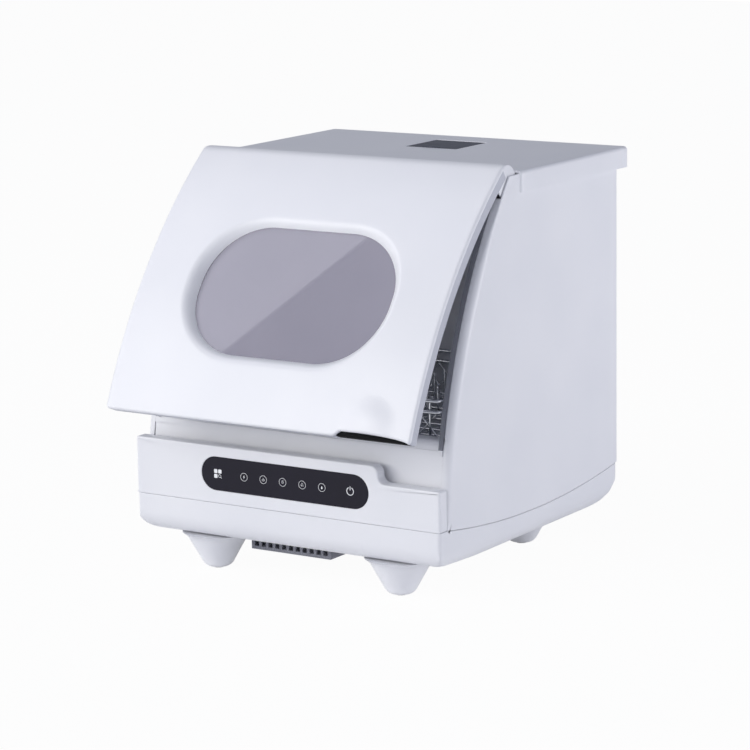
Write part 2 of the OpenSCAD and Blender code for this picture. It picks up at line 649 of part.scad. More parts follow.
module spray_nut() color([0.3, 0.32, 0.36]) from_front() difference() {
    rod_z(0, sump_y, arm_z + arm_t + 0.3, post_top + 2, 11);
    rod_z(0, sump_y, arm_z + arm_t - 1, post_top + 0.05, post_r + fit);
    for (i = [0 : 5]) translate([0, sump_y, 0]) rotate(i * 60) rod_z(12.5, 0, arm_z + arm_t, post_top + 3, 3);
}

// Heater: bent tube in the left of the sump with two terminals through its floor
module heater() color(steel_c) from_front() translate([-10, sump_y, sump_z + 14]) {
    rotate(90) rotate_extrude(angle = 180) translate([42, 0]) circle(3.3, $fn = 32);
    for (y = [-1, 1]) translate([0, y * 42, -24]) cylinder(h = 24, r = 3.3, $fn = 32);
}

// Wash pump: casing against the sump's port, impeller with its shaft, and motor
pump_x = sump_r + 16.1;
pump_l = 28;
motor_x = pump_x + pump_l + 0.5;
motor_l = 52;
wheel_z = pump_z - 4;
module wash_pump_casing() color([0.85, 0.86, 0.88]) from_front() difference() {
    union() {
        rod_x(pump_x, pump_x + pump_l, sump_y, wheel_z, pump_r);
        rod_z(pump_x + pump_l / 2, sump_y - pump_r + 9, wheel_z, wheel_z + 34, 8);
    }
    rod_x(pump_x + 3, pump_x + pump_l - 3, sump_y, wheel_z, pump_r - 3);
    rod_x(pump_x - 1, pump_x + 4, sump_y, pump_z + 12, pipe_r - 2);
    rod_x(pump_x + 4, pump_x + pump_l + 1, sump_y, wheel_z, 3 + fit);
    rod_z(pump_x + pump_l / 2, sump_y - pump_r + 9, wheel_z + 12, wheel_z + 35, 6);
}
module impeller(x0, x1, shaft_x, y, z, r) {
    rod_x(x1 - 3, x1, y, z, r);
    rod_x(x0, shaft_x, y, z, 3);
    rod_x(x0 + 2, x1 - 1, y, z, 6);
    for (i = [0 : 5]) translate([0, y, z]) rotate([i * 60, 0, 0]) block([x0 + 2, -1, 4], [x1 - 1, 1, r - 1]);
}
module wash_impeller() color([0.3, 0.5, 0.7]) from_front()
    impeller(pump_x + 6, pump_x + pump_l - 6, motor_x + motor_l / 2, sump_y, wheel_z, pump_r - 8);
module wash_motor() color(steel_c) from_front() difference() {
    union() {
        rod_x(motor_x, motor_x + motor_l, sump_y, wheel_z, pump_r - 2);
        rod_x(motor_x + motor_l - 1, motor_x + motor_l + 6, sump_y, wheel_z, 9);
    }
    rod_x(motor_x - 1, motor_x + motor_l / 2 + 2, sump_y, wheel_z, 3 + fit);
}

// Drain pump: one canned unit with its impeller inside, and the hose to the back
drain_x = drain_at[0] - 10;
module drain_pump() color([0.25, 0.27, 0.3]) from_front() difference() {
    union() {
        rod_x(drain_x - 50, drain_x + 33.5, sump_y, seam_h + 8, drain_r);
        rod_y(drain_at[0], sump_y, sump_y + drain_r + 14, seam_h + 21, pipe_r - 2);
    }
    rod_x(drain_x + 2, drain_x + 30.5, sump_y, seam_h + 8, drain_r - 3);
    rod_x(drain_x + 29, drain_x + 35, sump_y, pump_z + 12, pipe_r - 3.5);
    rod_x(drain_x - 22, drain_x + 4, sump_y, seam_h + 8, 3 + fit);
    rod_y(drain_at[0], sump_y + 5, sump_y + drain_r + 15, seam_h + 21, pipe_r - 4);
}
module drain_impeller() color([0.3, 0.5, 0.7]) from_front() mirror([1, 0, 0])
    impeller(-drain_x - 24, -drain_x - 6, -drain_x + 20, sump_y, seam_h + 8, drain_r - 8);
module drain_hose() color([0.75, 0.77, 0.8]) from_front() difference() {
    union() {
        rod_y(drain_at[0], sump_y + drain_r + 4, body_d + 14, seam_h + 21, pipe_r - 0.5);
        rod_y(drain_at[0], body_d + 0.3, body_d + 3, seam_h + 21, pipe_r + 4);
        for (i = [0 : 2])
            rod_y(drain_at[0], body_d + 6 + i * 3, body_d + 7.5 + i * 3, seam_h + 21, pipe_r + 0.7);
    }
    rod_y(drain_at[0], sump_y + drain_r, body_d + 15, seam_h + 21, pipe_r - 2 + fit);
}

// Water tank behind the tub, and its outlet valve with the pipe to the sump
tank_out = [hatch_x - 30, tank_y0 + 25];
module water_tank() color([0.8, 0.84, 0.9]) from_front() difference() {
    union() {
        block([tank_x0, tank_y0, tank_z0], [tank_x0 + tank_w, tank_y1, tank_z1]);
        rod_z(tank_out[0], tank_out[1], tank_z0 - 8, tank_z0 + 1, 7);
    }
    block([tank_x0 + 2, tank_y0 + 2, tank_z0 + 2], [tank_x0 + tank_w - 2, tank_y1 - 2, tank_z1 - 2]);
    rod_z(hatch_x, spout_y, tank_z1 - 3, tank_z1 + 1, spout_r + 0.3);
    rod_z(tank_out[0], tank_out[1], tank_z0 - 9, tank_z0 + 3, 5);
}
module fill_valve() color([0.25, 0.3, 0.5]) from_front() difference() {
    union() {
        block([tank_out[0] - 14, tank_out[1] - 12, tank_z0 - 30],
            [tank_out[0] + 14, tank_out[1] + 12, tank_z0 - 8.2]);
        rod_x(tank_out[0] + 13, tank_out[0] + 40, tank_out[1], tank_z0 - 19, 9);
        rod_z(tank_out[0], tank_out[1], pump_z + 12, tank_z0 - 29, 8);
        block([tank_out[0] - 10, tank_out[1] - 10, pump_z + 2],
            [tank_out[0] + 10, tank_out[1] + 10, pump_z + 22]);
        rod_y(tank_out[0], sump_y + sump_r + 14.2, tank_out[1] - 9, pump_z + 12, 8);
    }
    rod_z(tank_out[0], tank_out[1], pump_z + 8, tank_z0 - 8, 5.5);
    rod_y(tank_out[0], sump_y + sump_r + 13, tank_out[1] + 3, pump_z + 12, 5);
}

// Drying fan behind the grille, with a duct from the tub
module fan_housing() color(dark_c) from_front() difference() {
    block([fan_at[0] - fan_r - 4, fan_y, fan_at[1] - fan_r - 4],
        [fan_at[0] + fan_r + 4, fan_y + fan_t, fan_at[1] + fan_r + 4]);
    difference() {
        rod_y(fan_at[0], fan_y - 1, fan_y + fan_t + 1, fan_at[1], fan_r);
        rod_y(fan_at[0], fan_y - 1, fan_y + 3, fan_at[1], 12);
        for (i = [0 : 2]) translate([fan_at[0], 0, fan_at[1]]) rotate([0, i * 120, 0])
            block([-2, fan_y, 0], [2, fan_y + 3, fan_r + 1]);
    }
    rod_y(fan_at[0], fan_y + 0.5, fan_y + 4, fan_at[1], 2 + fit);
}
module fan_rotor() color(rubber_c) from_front() translate([fan_at[0], fan_y, fan_at[1]]) rotate([-90, 0, 0]) {
    translate([0, 0, 0.8]) cylinder(h = 4, r = 2);
    translate([0, 0, 4]) cylinder(h = fan_t - 6, r = 10);
    for (i = [0 : blades - 1]) rotate(i * 360 / blades) translate([0, 0, 5]) rotate([35, 0, 0])
        block([8, -1, 0], [fan_r - 2, 1, 12]);
}
module fan_duct() color(grey_c) from_front() difference() {
    rod_y(fan_at[0], tub_y + 0.2, fan_y - 0.2, fan_at[1], fan_r);
    rod_y(fan_at[0], tub_y - 1, fan_y + 1, fan_at[1], fan_r - 3);
}

// Float switch in the tub's front corner
float_z = tub_z + 2.1;
module float_guide() color(grey_c) from_front() translate([float_at[0], float_at[1], 0]) difference() {
    rod_z(0, 0, tub_z, tub_z + 24, 15);
    rod_z(0, 0, tub_z + 2, tub_z + 25, 13);
    rod_z(0, 0, tub_z - 1, tub_z + 3, 3.3);
    for (i = [0 : 3]) rotate(45 + i * 90) block([8, -3, tub_z + 3], [20, 3, tub_z + 25]);
}
module float() color([0.9, 0.6, 0.2]) from_front() translate([float_at[0], float_at[1], 0]) {
    rod_z(0, 0, float_z, float_z + 13, 11.5);
    rod_z(0, 0, tub_z - 14, float_z + 1, 3);
}

// Basket: two rim bars, wire sides and floor, and two rows of plate tines
module bar_loop(z, d) {
    r = 22;
    x = basket_x - r;
    both() for (y = [basket_y0 + r, basket_y1 - r])
        translate([x, y, z]) rotate(y < sump_y ? -90 : 0)
            rotate_extrude(angle = 90) translate([r, 0]) circle(d / 2, $fn = 32);
    both() rod_y(basket_x, basket_y0 + r, basket_y1 - r, z, d / 2, $fn = 32);
    for (y = [basket_y0, basket_y1]) rod_x(-x, x, y, z, d / 2, $fn = 32);
}
rim_z = basket_z + basket_h;
module basket_rim() color(steel_c) from_front() {
    bar_loop(rim_z, bar_d);
    bar_loop(rim_z - 13, bar_d);
}
wire_x = [for (i = [-5 : 5]) i * (basket_x - 24) / 5];
wire_y = [for (i = [-4 : 4]) (basket_y0 + basket_y1) / 2 + i * (basket_y1 - basket_y0 - 56) / 8];
wire_in = bar_d / 2 + wire_d / 2 + 0.1;
weld = 0.8;
cross_z = basket_z + 1.5 * wire_d - weld;
module basket_floor() color(steel_c) from_front() {
    for (x = wire_x)
        rod_y(x, basket_y0 + wire_in, basket_y1 - wire_in, basket_z + wire_d / 2, wire_d / 2, $fn = 8);
    for (y = wire_y) rod_x(-basket_x + wire_in, basket_x - wire_in, y, cross_z, wire_d / 2, $fn = 8);
}
module basket_sides() color(steel_c) from_front() {
    for (x = wire_x, y = [basket_y0 + wire_in, basket_y1 - wire_in])
        rod_z(x, y, basket_z + wire_d, rim_z + bar_d / 2, wire_d / 2, $fn = 8);
    both() for (y = wire_y)
        rod_z(basket_x - wire_in, y, cross_z + wire_d / 2, rim_z + bar_d / 2, wire_d / 2, $fn = 8);
}

// Plate tines: staple-shaped wires that stand on the basket's floor
tine_h = 34;
row_x = [-96, -48, 48, 96];
pitch = (basket_y1 - basket_y0 - 56) / slots;
module plate_tines() color(steel_c) from_front() for (x = row_x) {
    z = cross_z + wire_d / 2;
    rod_y(x, basket_y0 + 20, basket_y1 - 20, z + wire_d / 2, wire_d / 2, $fn = 8);
    for (i = [0 : slots])
        rod_z(x, basket_y0 + 28 + i * pitch, z + wire_d / 2, z + tine_h, wire_d / 2, $fn = 8);
}

// Ledges in the tub that the basket stands on
module basket_rails() color(grey_c) from_front() both()
    block([basket_x - 16, basket_y0 + 6, basket_z - 7], [tub_in, basket_y1 - 6, cross_z - wire_d / 2]);

// Hinge: bracket on the tub's roof, pin, and friction washer
module hinge_bracket() color(steel_c) from_front() difference() {
    across(bracket_x - bracket_t, bracket_x) union() {
        translate(hinge) circle(10);
        polygon([[hinge[0] - 9, tub_top + 0.2], [hinge[0] + 77, tub_top + 0.2], [hinge[0] + 77, tub_top + 4],
            hinge + [14, -4], hinge + [4, 6], hinge + [-9, -3]]);
    }
    rod_x(bracket_x - bracket_t - 1, bracket_x + 1, hinge[0], hinge[1], pin_r + fit / 2);
}
module hinge_bracket_right() hinge_bracket();
module hinge_bracket_left() mirror([1, 0, 0]) hinge_bracket();
module hinge_pins() color(steel_c) from_front() both() {
    rod_x(bracket_x - bracket_t - 0.8, cheek_x + 0.8, hinge[0], hinge[1], pin_r);
    rod_x(bracket_x - bracket_t - 3, bracket_x - bracket_t - 0.2, hinge[0], hinge[1], pin_r + 3);
}
module hinge_washers() color(rubber_c) from_front() both() difference() {
    rod_x(bracket_x + 0.1, boss_x - 0.1, hinge[0], hinge[1], 9);
    rod_x(bracket_x - 1, boss_x + 1, hinge[0], hinge[1], pin_r + fit);
}

// Lid's outer shell: bowed skin rolled over the hinge, cheeks, lower flange, window dish and grip
pivot_r = lid_r - roll_r;
meet_a = lean - 180 - acos((roll_r ^ 2 + pivot_r ^ 2 - liner_r ^ 2) / (2 * roll_r * pivot_r));
module cheek_outline() {
    join = angle_of(hinge + roll_r * [cos(meet_a), sin(meet_a)] - bow);
    polygon(concat(arc(bow, lid_r, foot_a, lean), arc(hinge, roll_r, lean, meet_a, 32),
        arc(bow, liner_r, join, foot_a)));
}
module lid_outer() color(white_c) on_lid() difference() {
    union() {
        across(-lid_x, lid_x) polygon(concat(skin_line(), arc(hinge, roll_r - lid_skin, roll_end, lean, 8),
            arc(bow, lid_r - lid_skin, lean, foot_a)));
        both() across(cheek_x, lid_x) cheek_outline();
        across(-lid_x, lid_x) bow_band(liner_r, lid_r, foot_a, foot_a - lid_skin * arc_step(lid_r));
        both() rod_x(boss_x, cheek_x + 0.5, hinge[0], hinge[1], 10);
        intersection() {
            at_lid(window_a) translate([0, 0, -window_depth])
                dish(window_w + 6, window_h + 6, window_r + 3, window_depth, window_flare);
            across(-lid_x, lid_x) bow_band(liner_r, lid_r - 0.5, window_a + 12, window_a - 12);
        }
        intersection() {
            at_lid(grip_a) translate([grip_x, 0, grip_h - cap_r]) sphere(cap_r, $fn = 128);
            across(grip_x - grip_r - 2, lid_x - 8)
                bow_band(lid_r - 1, lid_r + grip_h + 1, foot_a, grip_a - 3.2);
        }
    }
    at_lid(window_a) translate([0, 0, -window_depth - 0.01]) dish(window_w, window_h, window_r, 30,
        window_flare * 30 / window_depth);
    both() rod_x(boss_x - 1, cheek_x + 1, hinge[0], hinge[1], pin_r + fit);
    at_lid(foot_a) translate([grip_x + 6, notch_d - notch_r, -lid_t - 4])
        cylinder(h = lid_t + 12, r = notch_r, $fn = 240);
}
cap_r = (grip_r ^ 2 + grip_h ^ 2) / (2 * grip_h);
notch_r = ((notch_w / 2) ^ 2 + notch_d ^ 2) / (2 * notch_d);

// Lid's liner: inner skin with its upper wall and a collar round the window
module lid_liner() color(grey_c) on_lid() difference() {
    union() {
        across(-cheek_x + 0.2, cheek_x - 0.2) bow_band(liner_r, liner_r + 2, liner_foot_a, liner_top_a);
        across(-boss_x + 2, boss_x - 2)
            bow_band(liner_r + 1, lid_r - lid_skin - 0.2, liner_top_a + 2 * arc_step(lid_r), liner_top_a);
        intersection() {
            at_lid(window_a) translate([0, 0, -lid_t - 12]) linear_extrude(lid_t) seal_outline(2);
            across(-cheek_x + 1, cheek_x - 1)
                bow_band(liner_r, lid_r - lid_skin - 0.2, window_a + 12, window_a - 12);
        }
    }
    at_lid(window_a) translate([0, 0, -lid_t - 14]) linear_extrude(lid_t + 14) seal_outline(0.2);
}
module seal_outline(grow) round_rect(window_w + 16 + 2 * grow, window_h + 16 + 2 * grow, window_r + 8 + grow);

// Window and its seal
module lid_window() color([0.6, 0.62, 0.66, 0.5]) on_lid() at_lid(window_a)
    translate([0, 0, -window_depth - window_t - 0.2]) linear_extrude(window_t)
        round_rect(window_w + 10, window_h + 10, window_r + 5);
module window_seal() color(trim_c) on_lid() at_lid(window_a) difference() {
    translate([0, 0, -window_depth - window_t - 1.6]) linear_extrude(window_t + 1.4) seal_outline(0);
    translate([0, 0, -window_depth - window_t - 0.3]) linear_extrude(window_t + 1)
        round_rect(window_w + 10.2, window_h + 10.2, window_r + 5.1);
    translate([0, 0, -window_depth - window_t - 3]) linear_extrude(window_t)
        round_rect(window_w + 2, window_h + 2, window_r + 1);
}

// Magnet in the lid and the reed switch behind the sill that senses it
magnet_x = -tub_in + 30;
module lid_magnet() color(steel_c) on_lid() at_lid(liner_foot_a - 0.9)
    translate([magnet_x, 0, -lid_t + 2.2]) cylinder(h = 4, r = 6);
module reed_switch() color(dark_c) from_front()
    block([magnet_x - 10, front_wall_y - 8, sill_top - 26], [magnet_x + 10, front_wall_y, sill_top - 16]);

// Power inlet in the rear cover, with three flat pins
module power_inlet() color(dark_c) from_front() difference() {
    union() {
        block([inlet_at[0] - 14, body_d - 20, inlet_at[1] - 10],
            [inlet_at[0] + 14, body_d + 0.5, inlet_at[1] + 10]);
        block([inlet_at[0] - 20, body_d + 0.1, inlet_at[1] - 13],
            [inlet_at[0] + 20, body_d + 2.5, inlet_at[1] + 13]);
    }
    block([inlet_at[0] - 12, body_d - 17, inlet_at[1] - 8], [inlet_at[0] + 12, body_d + 3, inlet_at[1] + 8]);
    for (p = pin_places) block([p[0] - 1.05, body_d - 21, p[1] - 2.05],
        [p[0] + 1.05, body_d - 16, p[1] + 2.05]);
}
pin_places = [for (p = [[-7, -2], [0, 2], [7, -2]]) inlet_at + p];
module inlet_pins() color(steel_c) from_front() for (p = pin_places)
    block([p[0] - 1, body_d - 26, p[1] - 2], [p[0] + 1, body_d - 4, p[1] + 2]);

// Six screws hold the rear cover to the side panels
module rear_screws() color(steel_c) from_front() both() for (z = screw_z) {
    rod_y(screw_x, body_d - 8, body_d + 0.5, z, screw_r, $fn = 32);
    rod_y(screw_x, body_d + 0.1, body_d + 2.1, z, screw_r * 2, $fn = 32);
}

base_pan();
vent_guard();
foot_front_left();
foot_front_right();
foot_rear_left();
foot_rear_right();
foot_pads();
side_panel_left();
side_panel_right();
rear_cover();
top_cover();
fill_hatch();
hatch_pin();
fill_funnel();
front_panel();
touch_panel();
touch_marks();
control_board();
power_board();
front_sill();
tub();
tub_gasket();
sump();
filter_plate();
filter_cup();
spray_post();
spray_arm();
spray_nut();
heater();
wash_pump_casing();
wash_impeller();
wash_motor();
drain_pump();
drain_impeller();
drain_hose();
water_tank();
fill_valve();
fan_housing();
fan_rotor();
fan_duct();
float_guide();
float();
basket_rim();
basket_floor();
basket_sides();
plate_tines();
basket_rails();
hinge_bracket_left();
hinge_bracket_right();
hinge_pins();
hinge_washers();
lid_outer();
lid_liner();
lid_window();
window_seal();
lid_magnet();
reed_switch();
power_inlet();
inlet_pins();
rear_screws();
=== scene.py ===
# %% [markdown]
# # A countertop dishwasher in glossy white plastic
#
# This lesson dresses a ready-made engineering model. The model brings the real sizes, the hinges and
# every inner part. What it lacks is what the eye looks for first: softly rounded plastic edges, a
# smoothly dished window, bright basket wire and believable finishes. Each cell below adds one of them.

# %% Load the frame
import json
import math

import bmesh
import bpy
import numpy as np
from mathutils import Matrix, Vector

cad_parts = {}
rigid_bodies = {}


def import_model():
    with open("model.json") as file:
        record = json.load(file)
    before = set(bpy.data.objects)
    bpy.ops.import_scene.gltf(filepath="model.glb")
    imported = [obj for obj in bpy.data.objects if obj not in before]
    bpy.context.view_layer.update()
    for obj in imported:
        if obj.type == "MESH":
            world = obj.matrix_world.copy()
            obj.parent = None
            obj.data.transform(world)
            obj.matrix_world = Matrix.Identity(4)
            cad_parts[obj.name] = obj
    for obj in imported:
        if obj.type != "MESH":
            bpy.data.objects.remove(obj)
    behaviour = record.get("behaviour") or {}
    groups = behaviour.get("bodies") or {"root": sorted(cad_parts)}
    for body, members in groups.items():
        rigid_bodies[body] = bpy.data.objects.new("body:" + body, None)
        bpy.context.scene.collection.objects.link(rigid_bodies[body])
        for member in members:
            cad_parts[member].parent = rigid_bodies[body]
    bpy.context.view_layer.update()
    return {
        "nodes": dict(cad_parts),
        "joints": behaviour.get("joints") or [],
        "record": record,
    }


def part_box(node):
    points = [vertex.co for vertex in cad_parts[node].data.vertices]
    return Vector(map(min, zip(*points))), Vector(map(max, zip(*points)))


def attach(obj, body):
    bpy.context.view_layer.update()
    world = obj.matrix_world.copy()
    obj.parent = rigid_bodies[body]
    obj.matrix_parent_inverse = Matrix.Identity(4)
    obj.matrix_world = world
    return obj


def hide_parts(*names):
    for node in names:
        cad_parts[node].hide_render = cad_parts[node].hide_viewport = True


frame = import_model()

joints = {joint["name"]: joint for joint in frame["joints"]}

# %% [markdown]
# ## Sizes
#
# Every size is a real one in millimetres. Depths are measured back from the control panel's face,
# because that is how the real machine is drawn; one function turns such a point into the frame's
# metres. The hinge comes from the model itself, so the shells can't drift away from it.

# %% Driving dimensions
MM = 0.001
PANEL_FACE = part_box("front_panel")[0][1]
BODY_W = (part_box("front_panel")[1][0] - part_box("front_panel")[0][0]) / MM
BODY_D = (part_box("rear_cover")[1][1] - PANEL_FACE) / MM
SKIRT = 25
BODY_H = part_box("top_cover")[0][2] / MM + SKIRT
WALL = 3
SEAM_H = 91
SEAM_DIP = 16
SEAM_GAP = 0.5
PAN_H = 38

LID_R = 700
LID_T = 16
ROLL_R = 21.4
LID_FOOT = np.array([5, 161.5])
HINGE = np.array([(joints["lid_hinge"]["pos_m"][1] - PANEL_FACE) / MM, joints["lid_hinge"]["pos_m"][2] / MM])
REST = -joints["lid_hinge"]["range_deg"][0]
LID_X = BODY_W / 2 - 2

WINDOW_W = 262
WINDOW_H = 165
WINDOW_R = 78
WINDOW_S = 164
WINDOW_DEPTH = 12.5


def place(x, y, z):
    """Millimetres, with y measured back from the control panel's face, as points in metres."""
    x, y, z = np.broadcast_arrays(x, y, z)
    return np.stack([x * MM, PANEL_FACE + y * MM, z * MM], axis=-1)


print("body:", round(BODY_W), "x", round(BODY_D), "x", round(BODY_H), "mm; hinge at", HINGE.round(1))

# %% [markdown]
# ## Meshes from rings
#
# Moulded shells have one thing in common: every outline is repeated inwards or downwards with a small
# change. So most shells here are rings of points, joined by quads. A ring can follow a rounded edge as
# easily as a flat face, which gives real rounded edges with clean, even faces.

# %% Mesh helpers
WELD = 1e-6
SHARP = 35


def shown(name, data):
    """Puts a mesh, a light or a camera into the scene as an object."""
    obj = bpy.data.objects.new(name, data)
    bpy.context.scene.collection.objects.link(obj)
    return obj


def piece(name, parts, material):
    """One object from (points, faces) parts: doubles merged, faces turned outwards, shading smoothed."""
    mesh = bmesh.new()
    for points, faces in parts:
        corners = [mesh.verts.new(p) for p in points]
        for face in faces:
            mesh.faces.new([corners[i] for i in face])
    bmesh.ops.remove_doubles(mesh, verts=mesh.verts, dist=WELD)
    bmesh.ops.dissolve_degenerate(mesh, dist=WELD, edges=mesh.edges)
    bmesh.ops.recalc_face_normals(mesh, faces=mesh.faces)
    data = bpy.data.meshes.new(name)
    mesh.to_mesh(data)
    mesh.free()
    data.shade_smooth()
    data.set_sharp_from_angle(angle=math.radians(SHARP))
    data.materials.append(material)
    return shown(name, data)


def rings(loops, close=False):
    """Points and faces of a skin over rings of equal length: joined end to end, or capped at both ends."""
    count = len(loops[0])
    points = np.concatenate(loops)
    faces = []
    for k in range(len(loops) if close else len(loops) - 1):
        a, b = k * count, (k + 1) % len(loops) * count
        for i in range(count):
            j = (i + 1) % count
            faces.append((a + i, a + j, b + j, b + i))
    if not close:
        faces += [tuple(range(count)), tuple(range(len(points) - count, len(points)))]
    return points, faces


def arc(centre, radius, start, end, steps):
    """Points along an arc, angles in degrees."""
    a = np.radians(np.linspace(start, end, steps + 1))
    return np.stack([centre[0] + radius * np.cos(a), centre[1] + radius * np.sin(a)], axis=1)


def inset(outline, amount):
    """Moves each point of a closed, anticlockwise outline inwards by its own amount."""
    before = outline - np.roll(outline, 1, axis=0)
    after = np.roll(outline, -1, axis=0) - outline
    normal = []
    for edge in (before, after):
        edge = edge / np.linalg.norm(edge, axis=1, keepdims=True)
        normal.append(np.stack([-edge[:, 1], edge[:, 0]], axis=1))
    middle = normal[0] + normal[1]
    middle /= np.linalg.norm(middle, axis=1, keepdims=True)
    miter = np.clip((middle * normal[0]).sum(axis=1), 0.5, 1)
    return outline + middle * (np.broadcast_to(amount, len(outline)) / miter)[:, None]


def ray_hits(outline, centre, angles):
    """Where rays from the centre cross a closed outline that they see whole."""
    rel = outline - centre
    theta = np.arctan2(rel[:, 1], rel[:, 0])
    order = np.argsort(theta)
    rel, theta = rel[order], theta[order]
    rel = np.concatenate([rel[-1:], rel, rel[:1]])
    theta = np.concatenate([theta[-1:] - 2 * np.pi, theta, theta[:1] + 2 * np.pi])
    k = np.clip(np.searchsorted(theta, angles, side="right") - 1, 0, len(theta) - 2)
    a, d = rel[k], rel[k + 1] - rel[k]
    c, s = np.cos(angles), np.sin(angles)
    t = (a[:, 1] * c - a[:, 0] * s) / (d[:, 0] * s - d[:, 1] * c + 1e-12)
    return centre + a + d * np.clip(t, 0, 1)[:, None]


def shared_angles(centre, *outlines):
    """The angles of every corner of every outline, seen from the centre."""
    rel = np.concatenate(outlines) - centre
    return np.unique(np.round(np.arctan2(rel[:, 1], rel[:, 0]), 7))


def round_rect(w, h, r, steps, centre=(0, 0)):
    """A rectangle with round corners, anticlockwise."""
    x, y = w / 2 - r, h / 2 - r
    corners = [((x, y), 0), ((-x, y), 90), ((-x, -y), 180), ((x, -y), 270)]
    return np.concatenate([arc(c, r, a, a + 90, steps) for c, a in corners]) + centre


def two_radii(x, low, high, r_low, r_high, steps_low, steps_high):
    """A rectangle from -x to x and from low to high, whose lower and upper corners have their own radius."""
    return np.concatenate([
        arc((x - r_low, low + r_low), r_low, 270, 360, steps_low),
        arc((x - r_high, high - r_high), r_high, 0, 90, steps_high),
        arc((r_high - x, high - r_high), r_high, 90, 180, steps_high),
        arc((r_low - x, low + r_low), r_low, 180, 270, steps_low)])


def rounding(steps):
    """Steps over a round edge: the shares of its radius that a ring is still drawn in and has fallen."""
    return [(1 - math.sin(a), 1 - math.cos(a)) for a in np.radians(np.linspace(0, 90, steps + 1))]


def fill_between(outline, longest):
    """The same closed outline with extra points, so that no edge is longer than asked."""
    points = []
    for a, b in zip(outline, np.roll(outline, -1, axis=0)):
        count = max(1, int(np.ceil(np.linalg.norm(b - a) / longest)))
        points += [a + (b - a) * i / count for i in range(count)]
    return np.array(points)


def ease(t):
    """A smooth step from 0 to 1."""
    t = np.clip(t, 0, 1)
    return t * t * (3 - 2 * t)


def settle(obj, body, *nodes):
    """Rides the piece on its body and hides the nodes that it stands for."""
    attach(obj, body)
    if nodes:
        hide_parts(*nodes)
    return obj


slot_of = {part["node"]: part["material_slot"] for part in frame["record"]["subparts"]}
body_of = {node: body for body, nodes in frame["record"]["behaviour"]["bodies"].items() for node in nodes}

# %% [markdown]
# ## Materials
#
# A material starts from what the real thing is made of. Colours are written as the sRGB hex values
# that a colour picker shows, and one function turns them into the linear values that light needs.

# %% Material helpers


def srgb(code):
    """A linear colour from an sRGB hex value."""
    values = [int(code[i : i + 2], 16) / 255 for i in (1, 3, 5)]
    return tuple(v / 12.92 if v <= 0.04045 else ((v + 0.055) / 1.055) ** 2.4 for v in values) + (1.0,)


def add(tree, kind, inputs=None, **settings):
    """Adds a node with its settings; an input is a value, or a socket to link from."""
    node = tree.nodes.new(kind)
    for key, value in settings.items():
        setattr(node, key, value)
    for key, value in (inputs or {}).items():
        if isinstance(value, bpy.types.NodeSocket):
            tree.links.new(value, node.inputs[key])
        else:
            node.inputs[key].default_value = value
    return node


def surface(name, **inputs):
    """A material with one shader. Returns the material, its node tree, its shader and object coordinates."""
    material = bpy.data.materials.new(name)
    material.use_nodes = True
    tree = material.node_tree
    tree.nodes.clear()
    shader = add(tree, "ShaderNodeBsdfPrincipled", {k.replace("_", " "): v for k, v in inputs.items()})
    out = add(tree, "ShaderNodeOutputMaterial")
    tree.links.new(shader.outputs[0], out.inputs["Surface"])
    place_of = add(tree, "ShaderNodeTexCoord").outputs["Object"]
    return material, tree, shader, place_of


def vary_gloss(tree, shader, noise, seen, rough):
    """Lets the roughness follow a noise: the noise's range that is seen becomes a range of roughness."""
    spread = add(tree, "ShaderNodeMapRange", {"Value": noise.outputs[0], "From Min": seen[0],
                                              "From Max": seen[1], "To Min": rough[0], "To Max": rough[1]})
    tree.links.new(spread.outputs[0], shader.inputs["Roughness"])


def grain(tree, shader, where, size_mm, depth_mm, rough=None):
    """Fine relief of a given size, and a gentle change of roughness with it."""
    noise = add(tree, "ShaderNodeTexNoise", {"Vector": where, "Scale": 1 / (size_mm * MM), "Detail": 3.0})
    bump = add(tree, "ShaderNodeBump", {"Strength": 1.0, "Distance": depth_mm * MM,
                                        "Height": noise.outputs[0]})
    tree.links.new(bump.outputs[0], shader.inputs["Normal"])
    if rough:
        vary_gloss(tree, shader, noise, (0.3, 0.7), rough)


def tint(tree, shader, where, light, dark, size_mm):
    """A slow drift between two close colours, as moulded plastic has."""
    noise = add(tree, "ShaderNodeTexNoise", {"Vector": where, "Scale": 1 / (size_mm * MM), "Detail": 1.0})
    mix = add(tree, "ShaderNodeMix", {0: noise.outputs[0], 6: srgb(dark), 7: srgb(light)}, data_type="RGBA")
    tree.links.new(mix.outputs[2], shader.inputs["Base Color"])


def grained(name, light, dark, drift_mm, grain_mm, depth_mm, rough=None, **inputs):
    """A finish whose colour drifts slowly under a fine grain."""
    material, tree, shader, where = surface(name, **inputs)
    tint(tree, shader, where, light, dark, drift_mm)
    grain(tree, shader, where, grain_mm, depth_mm, rough)
    return material


def polished(name, light, dark, drift_mm, gloss_mm, rough, **inputs):
    """A finish too smooth to show relief: its colour and its gloss drift slowly."""
    material, tree, shader, where = surface(name, **inputs)
    tint(tree, shader, where, light, dark, drift_mm)
    noise = add(tree, "ShaderNodeTexNoise", {"Vector": where, "Scale": 1 / (gloss_mm * MM), "Detail": 1.0})
    vary_gloss(tree, shader, noise, (0.1, 0.9), rough)
    return material


# %% Plastics

# Glossy white ABS, injection moulded in a polished tool: a clear, slightly soft shine that drifts a little.
# Its slow colour drift is partly the plastic's own uneven tone and partly painted reflection, the cloudy
# patches seen on the glossy panels.
white_abs = polished("white_abs_gloss", "#F7F7FA", "#EDEEF3", 110, 60, (0.29, 0.35), Roughness=0.3, IOR=1.5)

# Light grey ABS of the lid's frame: satin, because its tool was left unpolished.
grey_abs = grained("light_grey_abs_satin", "#CDCFD8", "#C4C6D0", 70, 0.8, 0.006, (0.3, 0.4),
                   Roughness=0.35, IOR=1.5)

# Dark printed acrylic film: very flat and shiny, with a faint cool tint.
black_film = polished("dark_acrylic_film", "#1B1828", "#15131F", 60, 30, (0.1, 0.18),
                      Roughness=0.14, IOR=1.49, Specular_IOR_Level=0.32)

